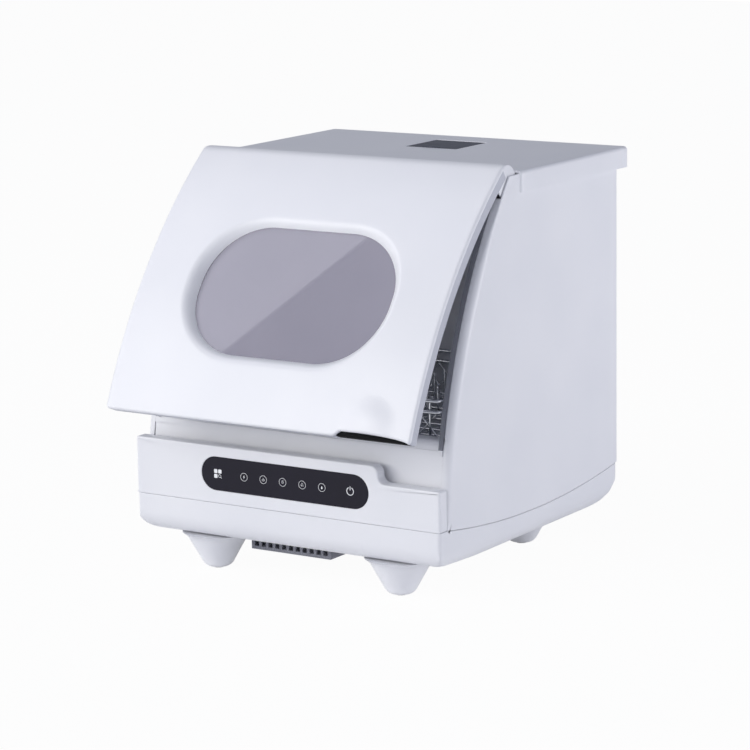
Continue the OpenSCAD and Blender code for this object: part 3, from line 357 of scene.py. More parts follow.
# White screen print on the film.
white_ink = grained("white_screen_print", "#FFFFFF", "#F0F2F6", 2, 0.3, 0.003, Roughness=0.5)

# Smoky acrylic of the water hatch.
smoky_hatch = polished("smoky_acrylic", "#4A4E5C", "#363A46", 18, 15, (0.42, 0.5),
                       Roughness=0.45, IOR=1.45, Specular_IOR_Level=0.4)

# Grey polypropylene of the wash chamber: satin, because its tool was lightly blasted.
grey_pp = grained("grey_polypropylene_satin", "#D4D6DD", "#C8CAD2", 50, 0.8, 0.01, (0.38, 0.5),
                  Roughness=0.42, IOR=1.49)

# Black glass-filled polyamide of fans and sockets: matt, with a fine spark-eroded grain.
black_pa = grained("black_polyamide_grain", "#24262C", "#1B1C20", 30, 0.5, 0.02, (0.5, 0.66), Roughness=0.6)

# Natural polypropylene of tanks, hoses and pump casings: milky and waxy.
pale_pp = grained("natural_polypropylene", "#DDE2EA", "#CCD2DC", 40, 2, 0.01, (0.35, 0.48), Roughness=0.4,
                  IOR=1.49, Subsurface_Weight=0.15, Subsurface_Radius=(0.004, 0.004, 0.004))

# Coloured polypropylene mouldings: blue for the spray arm, valve and wheels, orange for the float.
blue_pp = grained("blue_polypropylene", "#5A78A8", "#4A6796", 30, 1.5, 0.01, (0.35, 0.5), Roughness=0.4)
orange_pp = grained("orange_polypropylene", "#F0A848", "#DE9434", 12, 1, 0.01, (0.35, 0.5), Roughness=0.4)

# Epoxy board under green solder mask: the woven glass just shows as fine relief.
green_board = grained("solder_mask_board", "#2A6A4C", "#1F5238", 6, 0.5, 0.01, (0.3, 0.38), Roughness=0.3)

# Black moulded rubber: no shine, a dusty bloom.
black_rubber = grained("moulded_rubber", "#2E2F33", "#232427", 8, 0.6, 0.015, (0.68, 0.85), Roughness=0.75)

# Dull black polypropylene inside the finger notch: painted shade, standing in for the shadow under the lid's
# lifted lip.
notch_shade_black = grained("black_polypropylene_matt", "#131417", "#0D0E10", 15, 0.6, 0.02, (0.7, 0.85),
                   Roughness=0.75, Specular_IOR_Level=0.15)

# Grey polyamide of the air guard under the machine: matt, with the same grain as the black one. Its grey is
# painted shade, standing in for the shadow under the pan beside the left foot.
guard_shade_grey = grained("grey_polyamide_grain", "#92939D", "#7E7F88", 12, 0.5, 0.02, (0.48, 0.62), Roughness=0.55)

# Mid grey silicone of the gaskets: satin, slightly tacky.
grey_silicone = grained("grey_silicone", "#8A8C94", "#7C7E86", 20, 0.8, 0.01, (0.45, 0.58),
                        Roughness=0.5, IOR=1.41)

# %% Metals

# Cold-rolled stainless steel: satin, with fine rolling lines along X.
satin_steel, tree, shader, where = surface("stainless_steel_satin", Metallic=1.0, Roughness=0.3)
stretched = add(tree, "ShaderNodeMapping", {"Vector": where, "Scale": (0.05, 1, 1)}).outputs[0]
tint(tree, shader, where, "#D2D4D8", "#C3C5CA", 20)
grain(tree, shader, stretched, 0.4, 0.004, (0.29, 0.4))

# Electropolished stainless wire: bright, its drawing marks almost gone.
bright_wire = grained("electropolished_wire", "#E6E8EC", "#D4D6DB", 15, 0.6, 0.003, (0.12, 0.22),
                      Metallic=1.0, Roughness=0.16)

# Nickel-plated brass contact pins.
brass = grained("plated_brass", "#D9C48C", "#C6AE72", 4, 0.5, 0.003, (0.18, 0.26),
                Metallic=1.0, Roughness=0.25)

# %% Tinted window

# Smoky polycarbonate sheet, 3 mm: each face keeps part of the light, and what is behind shows greyed.
tinted_pc = polished("smoky_polycarbonate", "#CFCAD9", "#C6C2D2", 80, 150, (0.008, 0.014), Roughness=0.01,
                     IOR=1.6, Alpha=0.42, Coat_Weight=1.0, Coat_Roughness=0.01)

finish_of = {
    "gloss_white": white_abs, "black_panel": black_film, "white_ink": white_ink, "smoky_hatch": smoky_hatch,
    "dark_plastic": black_pa, "grey_plastic": grey_pp, "pale_plastic": pale_pp, "blue_plastic": blue_pp,
    "orange_float": orange_pp, "green_board": green_board, "steel": satin_steel, "polished_wire": bright_wire,
    "brass_pins": brass, "rubber": black_rubber, "smoky_window": tinted_pc, "grey_trim": grey_silicone,
}
for node, obj in frame["nodes"].items():
    obj.data.materials.clear()
    obj.data.materials.append(finish_of[slot_of[node]])
print("materials:", len(finish_of))

# %% [markdown]
# ## The lid's curve
#
# The lid is bent sheet: a large circle below, which runs smoothly into the small roll around the
# hinge. `lid_point` walks up that line, so a point on the lid is just how far across, how far up and
# how high above the face. The lid stands ajar, so everything on it is turned about the hinge at last.

# %% Lid frame
SKIN = 3
ROLL_END = 103


def angle_of(v):
    """The direction of a vector, in degrees."""
    return math.degrees(math.atan2(v[1], v[0]))


span = float(np.linalg.norm(HINGE - LID_FOOT))
reach = ((LID_R - ROLL_R) ** 2 - LID_R ** 2 + span ** 2) / (2 * span)
rise = math.sqrt((LID_R - ROLL_R) ** 2 - reach ** 2)
toward = (LID_FOOT - HINGE) / span
BOW = HINGE + reach * toward + rise * np.array([-toward[1], toward[0]])
LEAN = angle_of(HINGE - BOW)
FOOT_A = angle_of(LID_FOOT - BOW)
S_LEAN = math.radians(FOOT_A - LEAN) * LID_R
S_END = S_LEAN + math.radians(LEAN - ROLL_END) * ROLL_R
WINDOW_A = FOOT_A - math.degrees(WINDOW_S / LID_R)


def ajar(y, z):
    """Turns a closed lid's section to where it stands at rest."""
    a = -math.radians(REST)
    dy, dz = y - HINGE[0], z - HINGE[1]
    return HINGE[0] + dy * math.cos(a) - dz * math.sin(a), HINGE[1] + dy * math.sin(a) + dz * math.cos(a)


def lid_point(x, s, h):
    """A point x across, s up the lid from its lower edge and h above its face."""
    x, s, h = np.broadcast_arrays(x, s, h)
    low = s <= S_LEAN
    a = np.radians(np.where(low, FOOT_A - np.degrees(s / LID_R), LEAN - np.degrees((s - S_LEAN) / ROLL_R)))
    r = np.where(low, LID_R, ROLL_R) + h
    y = np.where(low, BOW[0], HINGE[0]) + r * np.cos(a)
    z = np.where(low, BOW[1], HINGE[1]) + r * np.sin(a)
    return place(x, *ajar(y, z))


def window_point(x, v, w):
    """A point x across, v up and w out from the plane that touches the face at the window's centre."""
    a = math.radians(WINDOW_A)
    y = BOW[0] + LID_R * math.cos(a) + v * math.sin(a) + w * math.cos(a)
    z = BOW[1] + LID_R * math.sin(a) - v * math.cos(a) + w * math.sin(a)
    return place(x, *ajar(y, z))


print("lid face is", round(S_LEAN), "mm up to the roll; centre of the bow", BOW.round(1))

# %% [markdown]
# ## The lid's outer shell
#
# The shell is one moulding: a bowed face, a soft dish that leads down to the window, rolled edges and a
# swelling above the finger notch. Cutting the dish with a boolean would leave a hard crease and bad
# shading. Instead each ring starts on the window's outline and ends on the lid's outline, so the faces
# flow with the dish. The inside is skinned with the same rings, which closes the shell.

# %% Lid shell
FLARE = 14
EDGE_R = 2.6
SKIN_EDGE = 3.8
LIP_DROP = 6
LOW_CORNER_R, HIGH_CORNER_R = 5, 9
GRIP = np.array([151, 14])
GRIP_R = 38
GRIP_H = 4.2
NOTCH = (106, 205)
NOTCH_D = 6.5
NOTCH_FADE = 60
WINDOW_STEPS = 40

middle = np.array([0, WINDOW_S])
window_line = round_rect(WINDOW_W, WINDOW_H, WINDOW_R, WINDOW_STEPS)


def lid_outline(d):
    """The lid's outline, across and up, drawn in by d."""
    return two_radii(LID_X - d, d, S_END - d, max(LOW_CORNER_R - d, 0.5), max(HIGH_CORNER_R - d, 1), 6, 8)


def notched(x, s):
    """Lifts the lower edge over the finger notch; the lift fades out up the lid."""
    u = (x - NOTCH[0]) / (NOTCH[1] - NOTCH[0])
    lift = ease(u / 0.1) * np.sqrt(np.clip(1 - np.clip((u - 0.3) / 0.7, 0, 1) ** 2, 0, 1)) * (u < 1)
    return s + NOTCH_D * lift * np.clip(1 - s / NOTCH_FADE, 0, 1)


def grip(x, s):
    """The swelling over the notch."""
    d = np.hypot(x - GRIP[0], s - GRIP[1]) / GRIP_R
    return GRIP_H * np.where(d < 1, (1 - d ** 2) ** 2, 0)


angles = shared_angles(middle, window_line + middle, fill_between(lid_outline(EDGE_R), 6), lid_outline(0))


def window_ring(grow):
    """The window's outline, grown all round."""
    rect = round_rect(WINDOW_W + 2 * grow, WINDOW_H + 2 * grow, WINDOW_R + grow, WINDOW_STEPS)
    return ray_hits(rect, np.zeros(2), angles)


def sag(v):
    """How far the bowed face falls behind its tangent plane."""
    return np.sqrt(LID_R ** 2 - v ** 2) - LID_R


def face_ring(t, d, h=0.0, swell=True):
    """A ring on the face: t runs from the dish's rim (0) to the lid's outline drawn in by d (1)."""
    rim = window_ring(FLARE)
    rim = np.stack([rim[:, 0], WINDOW_S + LID_R * np.arcsin(rim[:, 1] / LID_R)], axis=1)
    edge = ray_hits(lid_outline(d), middle, angles)
    ring = rim + (edge - rim) * t
    x, s = ring[:, 0], ring[:, 1]
    height = h + (grip(x, s) if swell else 0)
    return lid_point(x, notched(x, s), height)


DISH_RINGS, FACE_RINGS, EDGE_RINGS, BACK_RINGS = 12, 34, 5, 10
DISH_CURVE = 2.1  # above 1 the dish is steep at the window and runs out softly in the face

loops = []
for d in np.linspace(0, 1, DISH_RINGS + 1)[:-1]:
    v = window_ring(FLARE * d)
    depth = WINDOW_DEPTH + sag(v[:, 1])
    loops.append(window_point(v[:, 0], v[:, 1], sag(v[:, 1]) - depth * (1 - d) ** DISH_CURVE))
loops += [face_ring(t, EDGE_R) for t in np.linspace(0, 1, FACE_RINGS)]
loops += [face_ring(1, EDGE_R * still_in, -EDGE_R * fallen) for still_in, fallen in rounding(EDGE_RINGS)[1:]]
loops += [face_ring(1, 0, -SKIN_EDGE), face_ring(1, SKIN, -SKIN_EDGE)]
loops += [face_ring(t, SKIN, -SKIN, swell=t > 0.5) for t in np.linspace(1, 0.12, BACK_RINGS)]
for grow, w in ((SKIN + FLARE * 0.4, -SKIN - LIP_DROP), (SKIN, -WINDOW_DEPTH)):
    v = window_ring(grow)
    loops.append(window_point(v[:, 0], v[:, 1], w))
settle(piece("lid_shell", [rings(loops, close=True)], white_abs), "lid", "lid_outer")
print("lid shell:", len(angles), "points a ring,", len(loops), "rings")

# %% [markdown]
# ## The lid's frame
#
# Behind the white shell sits a light grey frame, which shows as a plain band along the lid's sides. A
# white round eye closes each end of the roll, and a dark sheet behind the notch paints the shade under its
# lip.
# The band is a strip of cross-sections, because it is open at the top.

# %% Lid frame band, hinge eyes and painted shade behind the finger notch

# The band's section: how far in from the lid's outline, and how high above the lid's face.
BAND_IN, BAND_BACK, BAND_GAP, BAND_STOP = 0.2, 2.6, 0.05, 10
section = [(BAND_IN, -SKIN_EDGE - BAND_GAP), (BAND_IN, 1.2 - LID_T), (0.6, 0.4 - LID_T), (1.4, -LID_T),
           (BAND_BACK, -LID_T), (BAND_BACK, -SKIN_EDGE - BAND_GAP)]
lines = [face_ring(1, d, h, swell=False) for d, h in section]
edge = ray_hits(lid_outline(0), middle, angles)
low, rising, right = edge[:, 1] < S_END - BAND_STOP, angles > 0, edge[:, 0] > 0
stretches = (low & rising & ~right, low & ~rising, low & rising & right)
order = np.concatenate([np.flatnonzero(stretch) for stretch in stretches])
band = rings([np.array([line[k] for line in lines]) for k in order])
lid_frame = settle(piece("lid_frame", [band], grey_abs), "lid")

EYE_X, EYE_T, EYE_R, EYE_EDGE = LID_X - 0.9, 2.2, ROLL_R - 1.2, 0.8
rim = [(EYE_X - t * EYE_EDGE, EYE_R - drop * EYE_EDGE) for t, drop in ((0, 1), (0.3, 0.3), (1, 0))]
rim += [(2 * EYE_X - EYE_T - x, r) for x, r in rim[::-1]]
a = np.linspace(0, 2 * np.pi, 48, endpoint=False)
eyes = [rings([place(side * x, *ajar(HINGE[0] + r * np.cos(a), HINGE[1] + r * np.sin(a))) for x, r in rim])
        for side in (-1, 1)]
hinge_eyes = settle(piece("hinge_eyes", eyes, white_abs), "lid")

# A near-black sheet behind the notch: painted shade, standing in for the shadow under the lid's lifted lip.
POCKET_FRONT, POCKET_BACK, POCKET_EDGE = -5, -15.2, 0.6
POCKET_LOW, POCKET_RISE = 1, 4
x = np.linspace(NOTCH[0] + 3, NOTCH[1] - 1.5, 40)
lower = np.stack([x, np.full_like(x, POCKET_LOW)], axis=1)
upper = np.stack([x, notched(x, np.zeros_like(x)) + POCKET_RISE], axis=1)
pocket_line = np.concatenate([lower, upper[::-1]])
slim_line = inset(pocket_line, POCKET_EDGE)
levels = ((slim_line, POCKET_FRONT), (pocket_line, POCKET_FRONT - POCKET_EDGE),
          (pocket_line, POCKET_BACK + POCKET_EDGE), (slim_line, POCKET_BACK))
pocket = rings([lid_point(line[:, 0], line[:, 1], h) for line, h in levels])
finger_pocket = settle(piece("finger_pocket", [pocket], notch_shade_black), "lid")
print("frame band:", len(order), "sections")

# %% [markdown]
# ## Copies with rounded edges
#
# Parts of which only an edge or a corner shows are taken from the model. Its meshes are loose
# triangles, so a copy is merged first, its flat faces joined, and its real edges bevelled.

# %% Softened copies
SAME_POINT = 3e-6
FLAT_ANGLE = math.radians(0.4)
CREASE = math.radians(32)


def softened(node, width=0.0, material=None, name=None):
    """A merged copy of a node with rounded edges, in the node's place."""
    mesh = bmesh.new()
    mesh.from_mesh(frame["nodes"][node].data)
    bmesh.ops.remove_doubles(mesh, verts=mesh.verts, dist=SAME_POINT)
    bmesh.ops.dissolve_limit(mesh, angle_limit=FLAT_ANGLE, verts=mesh.verts, edges=mesh.edges)
    data = bpy.data.meshes.new(name or node + "_finished")
    mesh.to_mesh(data)
    mesh.free()
    data.materials.clear()
    data.materials.append(material or finish_of[slot_of[node]])
    obj = shown(data.name, data)
    data.shade_smooth()
    data.set_sharp_from_angle(angle=CREASE)
    if width:
        bevel = obj.modifiers.new("rounded edges", "BEVEL")
        bevel.width = width * MM
        bevel.segments = 2
        bevel.limit_method = "ANGLE"
        bevel.angle_limit = CREASE
        bevel.use_clamp_overlap = True
        bevel.harden_normals = True
    return settle(obj, body_of[node], node)


SOFT = {
    "front_sill": 0.8, "tub": 1.2, "lid_liner": 0.5, "rear_cover": 0.6, "vent_guard": 0.5, "fill_hatch": 0.5,
    "power_inlet": 0.5, "fill_funnel": 0.5, "float_guide": 0.4, "basket_rails": 1.0, "spray_arm": 1.2,
    "spray_nut": 0.6, "filter_cup": 0.4, "filter_plate": 0.2, "inlet_pins": 0.3,
}
# The air guard wears the grey that paints the shade under the pan.
OTHER_FINISH = {"vent_guard": guard_shade_grey}
for node, width in SOFT.items():
    softened(node, width, material=OTHER_FINISH.get(node))
for node in ("window_seal", "lid_window", "drain_hose", "spray_post", "foot_pads", "float"):
    softened(node)


def run_of(node, name, height, above, material):
    """The part of a node above or below a height, closed again where it is cut."""
    obj = softened(node, name=name, material=material)
    mesh = bmesh.new()
    mesh.from_mesh(obj.data)
    bmesh.ops.bisect_plane(mesh, geom=[*mesh.verts, *mesh.edges, *mesh.faces], plane_co=(0, 0, height * MM),
                           plane_no=(0, 0, 1), clear_inner=above, clear_outer=not above)
    bmesh.ops.edgeloop_fill(mesh, edges=[edge for edge in mesh.edges if edge.is_boundary])
    mesh.to_mesh(obj.data)
    mesh.free()
    return obj


SILL_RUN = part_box("tub_gasket")[0][2] / MM + 7
run_of("tub_gasket", "tub_gasket_sides", SILL_RUN, True, grey_silicone)
run_of("tub_gasket", "tub_gasket_sill_run", SILL_RUN, False, white_abs)

# %% [markdown]
# ## Side panels
#
# A side panel is a thin flat moulding whose bowed front edge turns inwards in a generous round. The
# outline is drawn once, and each point has its own edge radius and its own depth of return, so the
# front edge is soft and deep while the seams stay crisp.

# %% Side panels
PANEL_D = 14.5
RIM_W = 10
RIM_R, RIM_LOW_R, HOLLOW_R, REAR_R, SEAM_R = 8, 2, 0.1, 1.5, 0.7
EDGE_LINE_R = LID_R - LID_T - 2
seam_r = ((BODY_D - PANEL_D) ** 2 / 4 + SEAM_DIP ** 2) / (2 * SEAM_DIP)
seam_mid = np.array([(BODY_D + PANEL_D) / 2, SEAM_H - SEAM_DIP + seam_r])
seam_a = math.degrees(math.asin((BODY_D - PANEL_D) / 2 / seam_r))


def seam_z(y, drop=0.0):
    """Height of the seam between the pan and a side panel."""
    half = np.clip(y, PANEL_D, BODY_D) - seam_mid[0]
    return seam_mid[1] - np.sqrt(seam_r ** 2 - half ** 2) - drop


def bow_angle(r, z):
    """The angle on a circle about the bow's centre at which it reaches a height."""
    return 180 - math.degrees(math.asin((z - BOW[1]) / r))


clear_r = ROLL_R + 2
meet_d = float(np.linalg.norm(HINGE - BOW))
meet_cos = (clear_r ** 2 + meet_d ** 2 - EDGE_LINE_R ** 2) / (2 * clear_r * meet_d)
meet_a = LEAN - 180 - math.degrees(math.acos(meet_cos))
meet = HINGE + clear_r * np.array([math.cos(math.radians(meet_a)), math.sin(math.radians(meet_a))])
top_z = BODY_H - WALL - SEAM_GAP
front_edge = arc(BOW, EDGE_LINE_R, bow_angle(EDGE_LINE_R, SEAM_H), angle_of(meet - BOW), 48)
print("side panel meets the hinge hollow at", meet.round(1))
hollow_top = math.degrees(math.asin((top_z - HINGE[1]) / clear_r))
hollow = arc(HINGE, clear_r, meet_a, hollow_top, 16)
seam_edge = arc(seam_mid, seam_r, 270 + seam_a, 270 - seam_a, 24)
runs = [(front_edge, RIM_R, RIM_W), (hollow[1:], HOLLOW_R, WALL), ([[BODY_D, top_z]], REAR_R, WALL),
        (seam_edge, SEAM_R, WALL)]
outline = np.concatenate([line for line, edge_r, turn in runs])
radii = np.concatenate([np.full(len(line), float(edge_r)) for line, edge_r, turn in runs])
turns = np.concatenate([np.full(len(line), turn) for line, edge_r, turn in runs])
TAPER = 16
CHEEK_R = 1.4
radii[0] = RIM_LOW_R
radii[len(front_edge) - TAPER : len(front_edge)] = RIM_R - (RIM_R - CHEEK_R) * ease(np.linspace(0, 1, TAPER))
FLAT_IN = 2.5


def sheet(outline, radii, turns, face, side):
    """A moulded panel across X: flat face, rounded edges, returns of their own depth, and its inside."""
    if np.sum(outline[:, 0] * np.roll(outline[:, 1], -1) - outline[:, 1] * np.roll(outline[:, 0], -1)) < 0:
        outline, radii, turns = outline[::-1], radii[::-1], turns[::-1]
    skin = [(radii + FLAT_IN, 0)]
    skin += [(radii * still_in, radii * fallen) for still_in, fallen in rounding(6)]
    skin += [(0, turns), (WALL, turns), (np.maximum(radii, WALL), WALL)]
    loops = []
    for drawn_in, depth in skin:
        line = inset(outline, drawn_in)
        loops.append(place(side * (face - depth), line[:, 0], line[:, 1]))
    return rings(loops)


# A thin cheek of the same moulding covers the end of the lid's roll, so the front edge runs on to the top.
CHEEK_REACH = 8
CHEEK_LOW, CHEEK_REAR = HINGE[1] - clear_r - CHEEK_REACH, HINGE[0] + clear_r + CHEEK_REACH
cheek_line = np.concatenate([
    arc(BOW, EDGE_LINE_R, bow_angle(EDGE_LINE_R, top_z), bow_angle(EDGE_LINE_R, CHEEK_LOW), 24),
    [[CHEEK_REAR, CHEEK_LOW], [CHEEK_REAR, top_z]]])
CHEEK_FACE, CHEEK_BACK = BODY_W / 2 - 0.02, LID_X + 0.35
for side, name in ((-1, "side_panel_left"), (1, "side_panel_right")):
    loops = []
    for still_in, fallen in rounding(3):
        line = inset(cheek_line, CHEEK_R * still_in)
        loops.append(place(side * (CHEEK_FACE - CHEEK_R * fallen), line[:, 0], line[:, 1]))
    loops.append(place(side * CHEEK_BACK, cheek_line[:, 0], cheek_line[:, 1]))
    parts = [sheet(outline, radii, turns, BODY_W / 2, side), rings(loops)]
    settle(piece(name + "_shell", parts, white_abs), "cabinet", name)
print("side panel outline:", len(outline), "points")

# %% [markdown]
# ## Plates with a hole
#
# The top cover and the control panel are both a plate with one hole and a rounded outer edge. Rays from
# the hole's centre give the two outlines matching points, and the rings run from the hole to the rim,
# over it and back underneath.

# %% Plate with a hole


def plate(centre, hole, outer, to_point, hole_depth, hole_r, edge_r, skirt):
    """Rings from a hole to a rounded rim and its skirt; edge_r and skirt give a size for each rim point."""
    angles = shared_angles(centre, hole, outer)
    rim, cut = ray_hits(outer, centre, angles), ray_hits(hole, centre, angles)
    r, deep = edge_r(rim), skirt(rim)
    loops = [(cut, -hole_depth), (cut, -hole_r), (inset(cut, -hole_r), 0)]
    loops += [(cut + (inset(rim, r) - cut) * t, 0) for t in (0.25, 0.5, 0.75, 0.97)]
    loops += [(inset(rim, r * still_in), -r * fallen) for still_in, fallen in rounding(6)]
    loops += [(rim, -deep), (inset(rim, WALL), -deep)]
    loops += [(inset(rim, np.maximum(r, WALL)), -WALL), (inset(cut, -WALL), -WALL)]
    return rings([to_point(line, height) for line, height in loops], close=True)


# %% Top cover
SIDE_OVERHANG, REAR_OVERHANG = 3, 25
COVER_GAP = 1.6
FRONT_CORNER_R, REAR_CORNER_R = 5, 6
FRONT_EDGE_R, SKIRT_EDGE_R = 1.4, 4.5
TOP_X = BODY_W / 2 + SIDE_OVERHANG
TOP_BACK = BODY_D + REAR_OVERHANG
TOP_FRONT = HINGE[0] + ROLL_R + COVER_GAP
HATCH = np.array([6, BODY_D - 61])
HATCH_W, HATCH_L, HATCH_GAP, HATCH_BARREL, BARREL_GAP = 70, 68, 0.5, 5, 1.5

top_line = fill_between(two_radii(TOP_X, TOP_FRONT, TOP_BACK, FRONT_CORNER_R, REAR_CORNER_R, 6, 12), 25)
hatch_back = HATCH[1] + HATCH_L / 2 + HATCH_BARREL + BARREL_GAP
hatch_front = HATCH[1] - HATCH_L / 2 - HATCH_GAP
hatch_centre = np.array([HATCH[0], (hatch_back + hatch_front) / 2])
hatch_hole = round_rect(HATCH_W + 2 * HATCH_GAP, hatch_back - hatch_front, 2, 6, centre=hatch_centre)


def top_point(line, h):
    """A point of the top, h above the body's height."""
    return place(line[:, 0], line[:, 1], BODY_H + h)


def at_front(line):
    """The points of the edge behind the lid's roll, which is thin and has no skirt."""
    return (line[:, 1] < TOP_FRONT + 2) & (np.abs(line[:, 0]) < TOP_X - 3)


cover = plate(hatch_centre, hatch_hole, top_line, top_point, hole_depth=WALL, hole_r=0.5,
              edge_r=lambda line: np.where(at_front(line), FRONT_EDGE_R, SKIRT_EDGE_R),
              skirt=lambda line: np.where(at_front(line), WALL, SKIRT))

# A curved curtain hangs from the cover inside the lid's roll and closes the hinge gap from within.
CURTAIN_GAP, CURTAIN_T = 1, 2.4
curtain_r, curtain_x = ROLL_R - SKIN - CURTAIN_GAP, LID_X - SKIN - CURTAIN_GAP
curtain_line = np.concatenate([arc(HINGE, curtain_r, 118, -6, 24),
                               arc(HINGE, curtain_r - CURTAIN_T, -6, 118, 24)])
curtain = rings([place(x, curtain_line[:, 0], curtain_line[:, 1]) for x in (-curtain_x, curtain_x)])
settle(piece("top_cover_shell", [cover, curtain], white_abs), "cabinet", "top_cover")
print("top cover:", len(top_line), "points along its edge")

# %% Control panel
PANEL_H, STEP_Z, STEP_R = 159, 138.5, 10
STEP_X = BODY_W / 2 - 92
PANEL_LOW_R, PANEL_HIGH_R = 1, 3
SEAM_EDGE_R, SIDE_EDGE_R, TOP_EDGE_R = 0.5, 3.2, 2.2
TOUCH_W, TOUCH_H, TOUCH_Z, TOUCH_GAP = 231, 40, 126, 0.15

low_x, low_z, high_x = BODY_W / 2 - PANEL_LOW_R, SEAM_H + PANEL_LOW_R, BODY_W / 2 - PANEL_HIGH_R
panel_line = np.concatenate([
    arc((low_x, low_z), PANEL_LOW_R, 270, 360, 2),
    arc((high_x, STEP_Z - PANEL_HIGH_R), PANEL_HIGH_R, 0, 90, 4),
    arc((STEP_X + 2 * STEP_R, STEP_Z + STEP_R), STEP_R, 270, 180, 10),
    arc((STEP_X, PANEL_H - STEP_R), STEP_R, 0, 90, 10),
    arc((-high_x, PANEL_H - PANEL_HIGH_R), PANEL_HIGH_R, 90, 180, 4),
    arc((-low_x, low_z), PANEL_LOW_R, 180, 270, 2)])
panel_line = fill_between(panel_line, 20)
touch_x, touch_r = (TOUCH_W - TOUCH_H) / 2, TOUCH_H / 2 + TOUCH_GAP
touch_line = np.concatenate([arc((touch_x, TOUCH_Z), touch_r, -90, 90, 32),
                             arc((-touch_x, TOUCH_Z), touch_r, 90, 270, 32)])


def panel_point(line, h):
    """A point of the panel, h in front of its face."""
    return place(line[:, 0], -h, line[:, 1])


def panel_edge(line):
    """The panel's edge radius: crisp at the seam, softer at the top, softest at the sides."""
    low = line[:, 1] < SEAM_H + 2
    side = np.abs(line[:, 0]) > BODY_W / 2 - 0.8
    return np.where(low, SEAM_EDGE_R, np.where(side, SIDE_EDGE_R, TOP_EDGE_R))


panel = plate(np.array([0.0, TOUCH_Z]), touch_line, panel_line, panel_point, hole_depth=1.6, hole_r=0.4,
              edge_r=panel_edge, skirt=lambda line: np.full(len(line), PANEL_D))
settle(piece("front_panel_shell", [panel], white_abs), "cabinet", "front_panel")
print("control panel:", len(panel_line), "points along its edge")

# %% [markdown]
# ## Base pan
#
# Seen from the front the pan is a tray with large round corners, and seen from the side it is another.
# At every point its underside is the higher of the two sections, blended where they meet. The rings
# run out from the middle of the underside and then straight up to the seam.

# %% Base pan
PAN_SIDE_R = 28
PAN_FRONT_R = 25
PAN_FALL = 7.5
PAN_FLAT_Y = 100
PAN_REAR_R = SEAM_H - SEAM_GAP - PAN_H
PAN_ROUND_END = PAN_FRONT_R - 2.3
PAN_CORNER_R = 5


def pan_side_section(y):
    """Height of the underside in side view."""
    front_mid = PAN_H + PAN_FALL + PAN_FRONT_R
    bow = front_mid - np.sqrt(np.clip(PAN_FRONT_R ** 2 - (PAN_FRONT_R - y) ** 2, 0, None))
    flat = PAN_H + PAN_FALL * np.clip((PAN_FLAT_Y - y) / (PAN_FLAT_Y - PAN_FRONT_R + 2), 0, 1)
    rear_mid = BODY_D - PAN_REAR_R
    past = np.clip(y - rear_mid, 0, PAN_REAR_R)
    back = PAN_H + PAN_REAR_R - np.sqrt(PAN_REAR_R ** 2 - past ** 2)
    return np.where(y < PAN_ROUND_END, bow, np.where(y > rear_mid, back, flat))


def pan_front_section(x):
    """Height of the underside in front view."""
    over = np.clip(np.abs(x) - (BODY_W / 2 - PAN_SIDE_R), 0, PAN_SIDE_R)
    return PAN_H + PAN_SIDE_R - np.sqrt(np.clip(PAN_SIDE_R ** 2 - over ** 2, 0, None))


def blend_max(a, b, soft=9.0):
    """The larger of two heights, rounded where they cross."""
    d = np.clip(np.abs(a - b) / soft, 0, 1)
    return np.maximum(a, b) + soft * 0.25 * (1 - d) ** 2


MIDDLE_RINGS, ROUND_RINGS, ROUND_SHARE = 8, 22, 0.3
PAN_TOP_R = 0.6
INSIDE_SHARE = 1 - WALL / 200

pan_line = fill_between(round_rect(BODY_W, BODY_D, PAN_CORNER_R, 8, centre=(0, BODY_D / 2)), 9)
pan_mid = np.array([0, BODY_D / 2])
# The rings crowd towards the edge, where the pan is round.
to_edge = 1 - ROUND_SHARE * (1 - np.linspace(0.08, 1, ROUND_RINGS)) ** 2
under = []
for t in np.concatenate([np.linspace(0.06, 1 - ROUND_SHARE, MIDDLE_RINGS), to_edge]):
    ring = pan_mid + (pan_line - pan_mid) * t
    under.append((ring, blend_max(pan_side_section(ring[:, 1]), pan_front_section(ring[:, 0]))))
seam_top = np.where(pan_line[:, 1] < PANEL_D - 1, SEAM_H - SEAM_GAP, seam_z(pan_line[:, 1], SEAM_GAP))
low_z = under[-1][1]
wall = [(pan_line, np.maximum(low_z + (seam_top - PAN_TOP_R - low_z) * t, low_z)) for t in (0.3, 0.6, 1)]
wall += [(inset(pan_line, 0.5), seam_top), (inset(pan_line, WALL), seam_top)]
inside = [(pan_mid + (ring - pan_mid) * INSIDE_SHARE, np.minimum(z + WALL, seam_top - 1))
          for ring, z in under[::-3]]
pan = rings([place(ring[:, 0], ring[:, 1], z) for ring, z in under + wall + inside])
settle(piece("base_pan_shell", [pan], white_abs), "cabinet", "base_pan")
print("base pan:", len(pan_line), "points a ring,", len(under + wall + inside), "rings")

# %% [markdown]
# ## Feet
#
# Each foot is a turned shape: a blunt round nose that widens in a straight cone and flares where it
# meets the pan. One profile makes all four.

# %% Feet


def turned(profile, centre, steps=64):
    """A solid turned about a vertical axis from (radius, height) points."""
    a = np.linspace(0, 2 * np.pi, steps, endpoint=False)
    return rings([place(centre[0] + r * np.cos(a), centre[1] + r * np.sin(a), z) for r, z in profile])


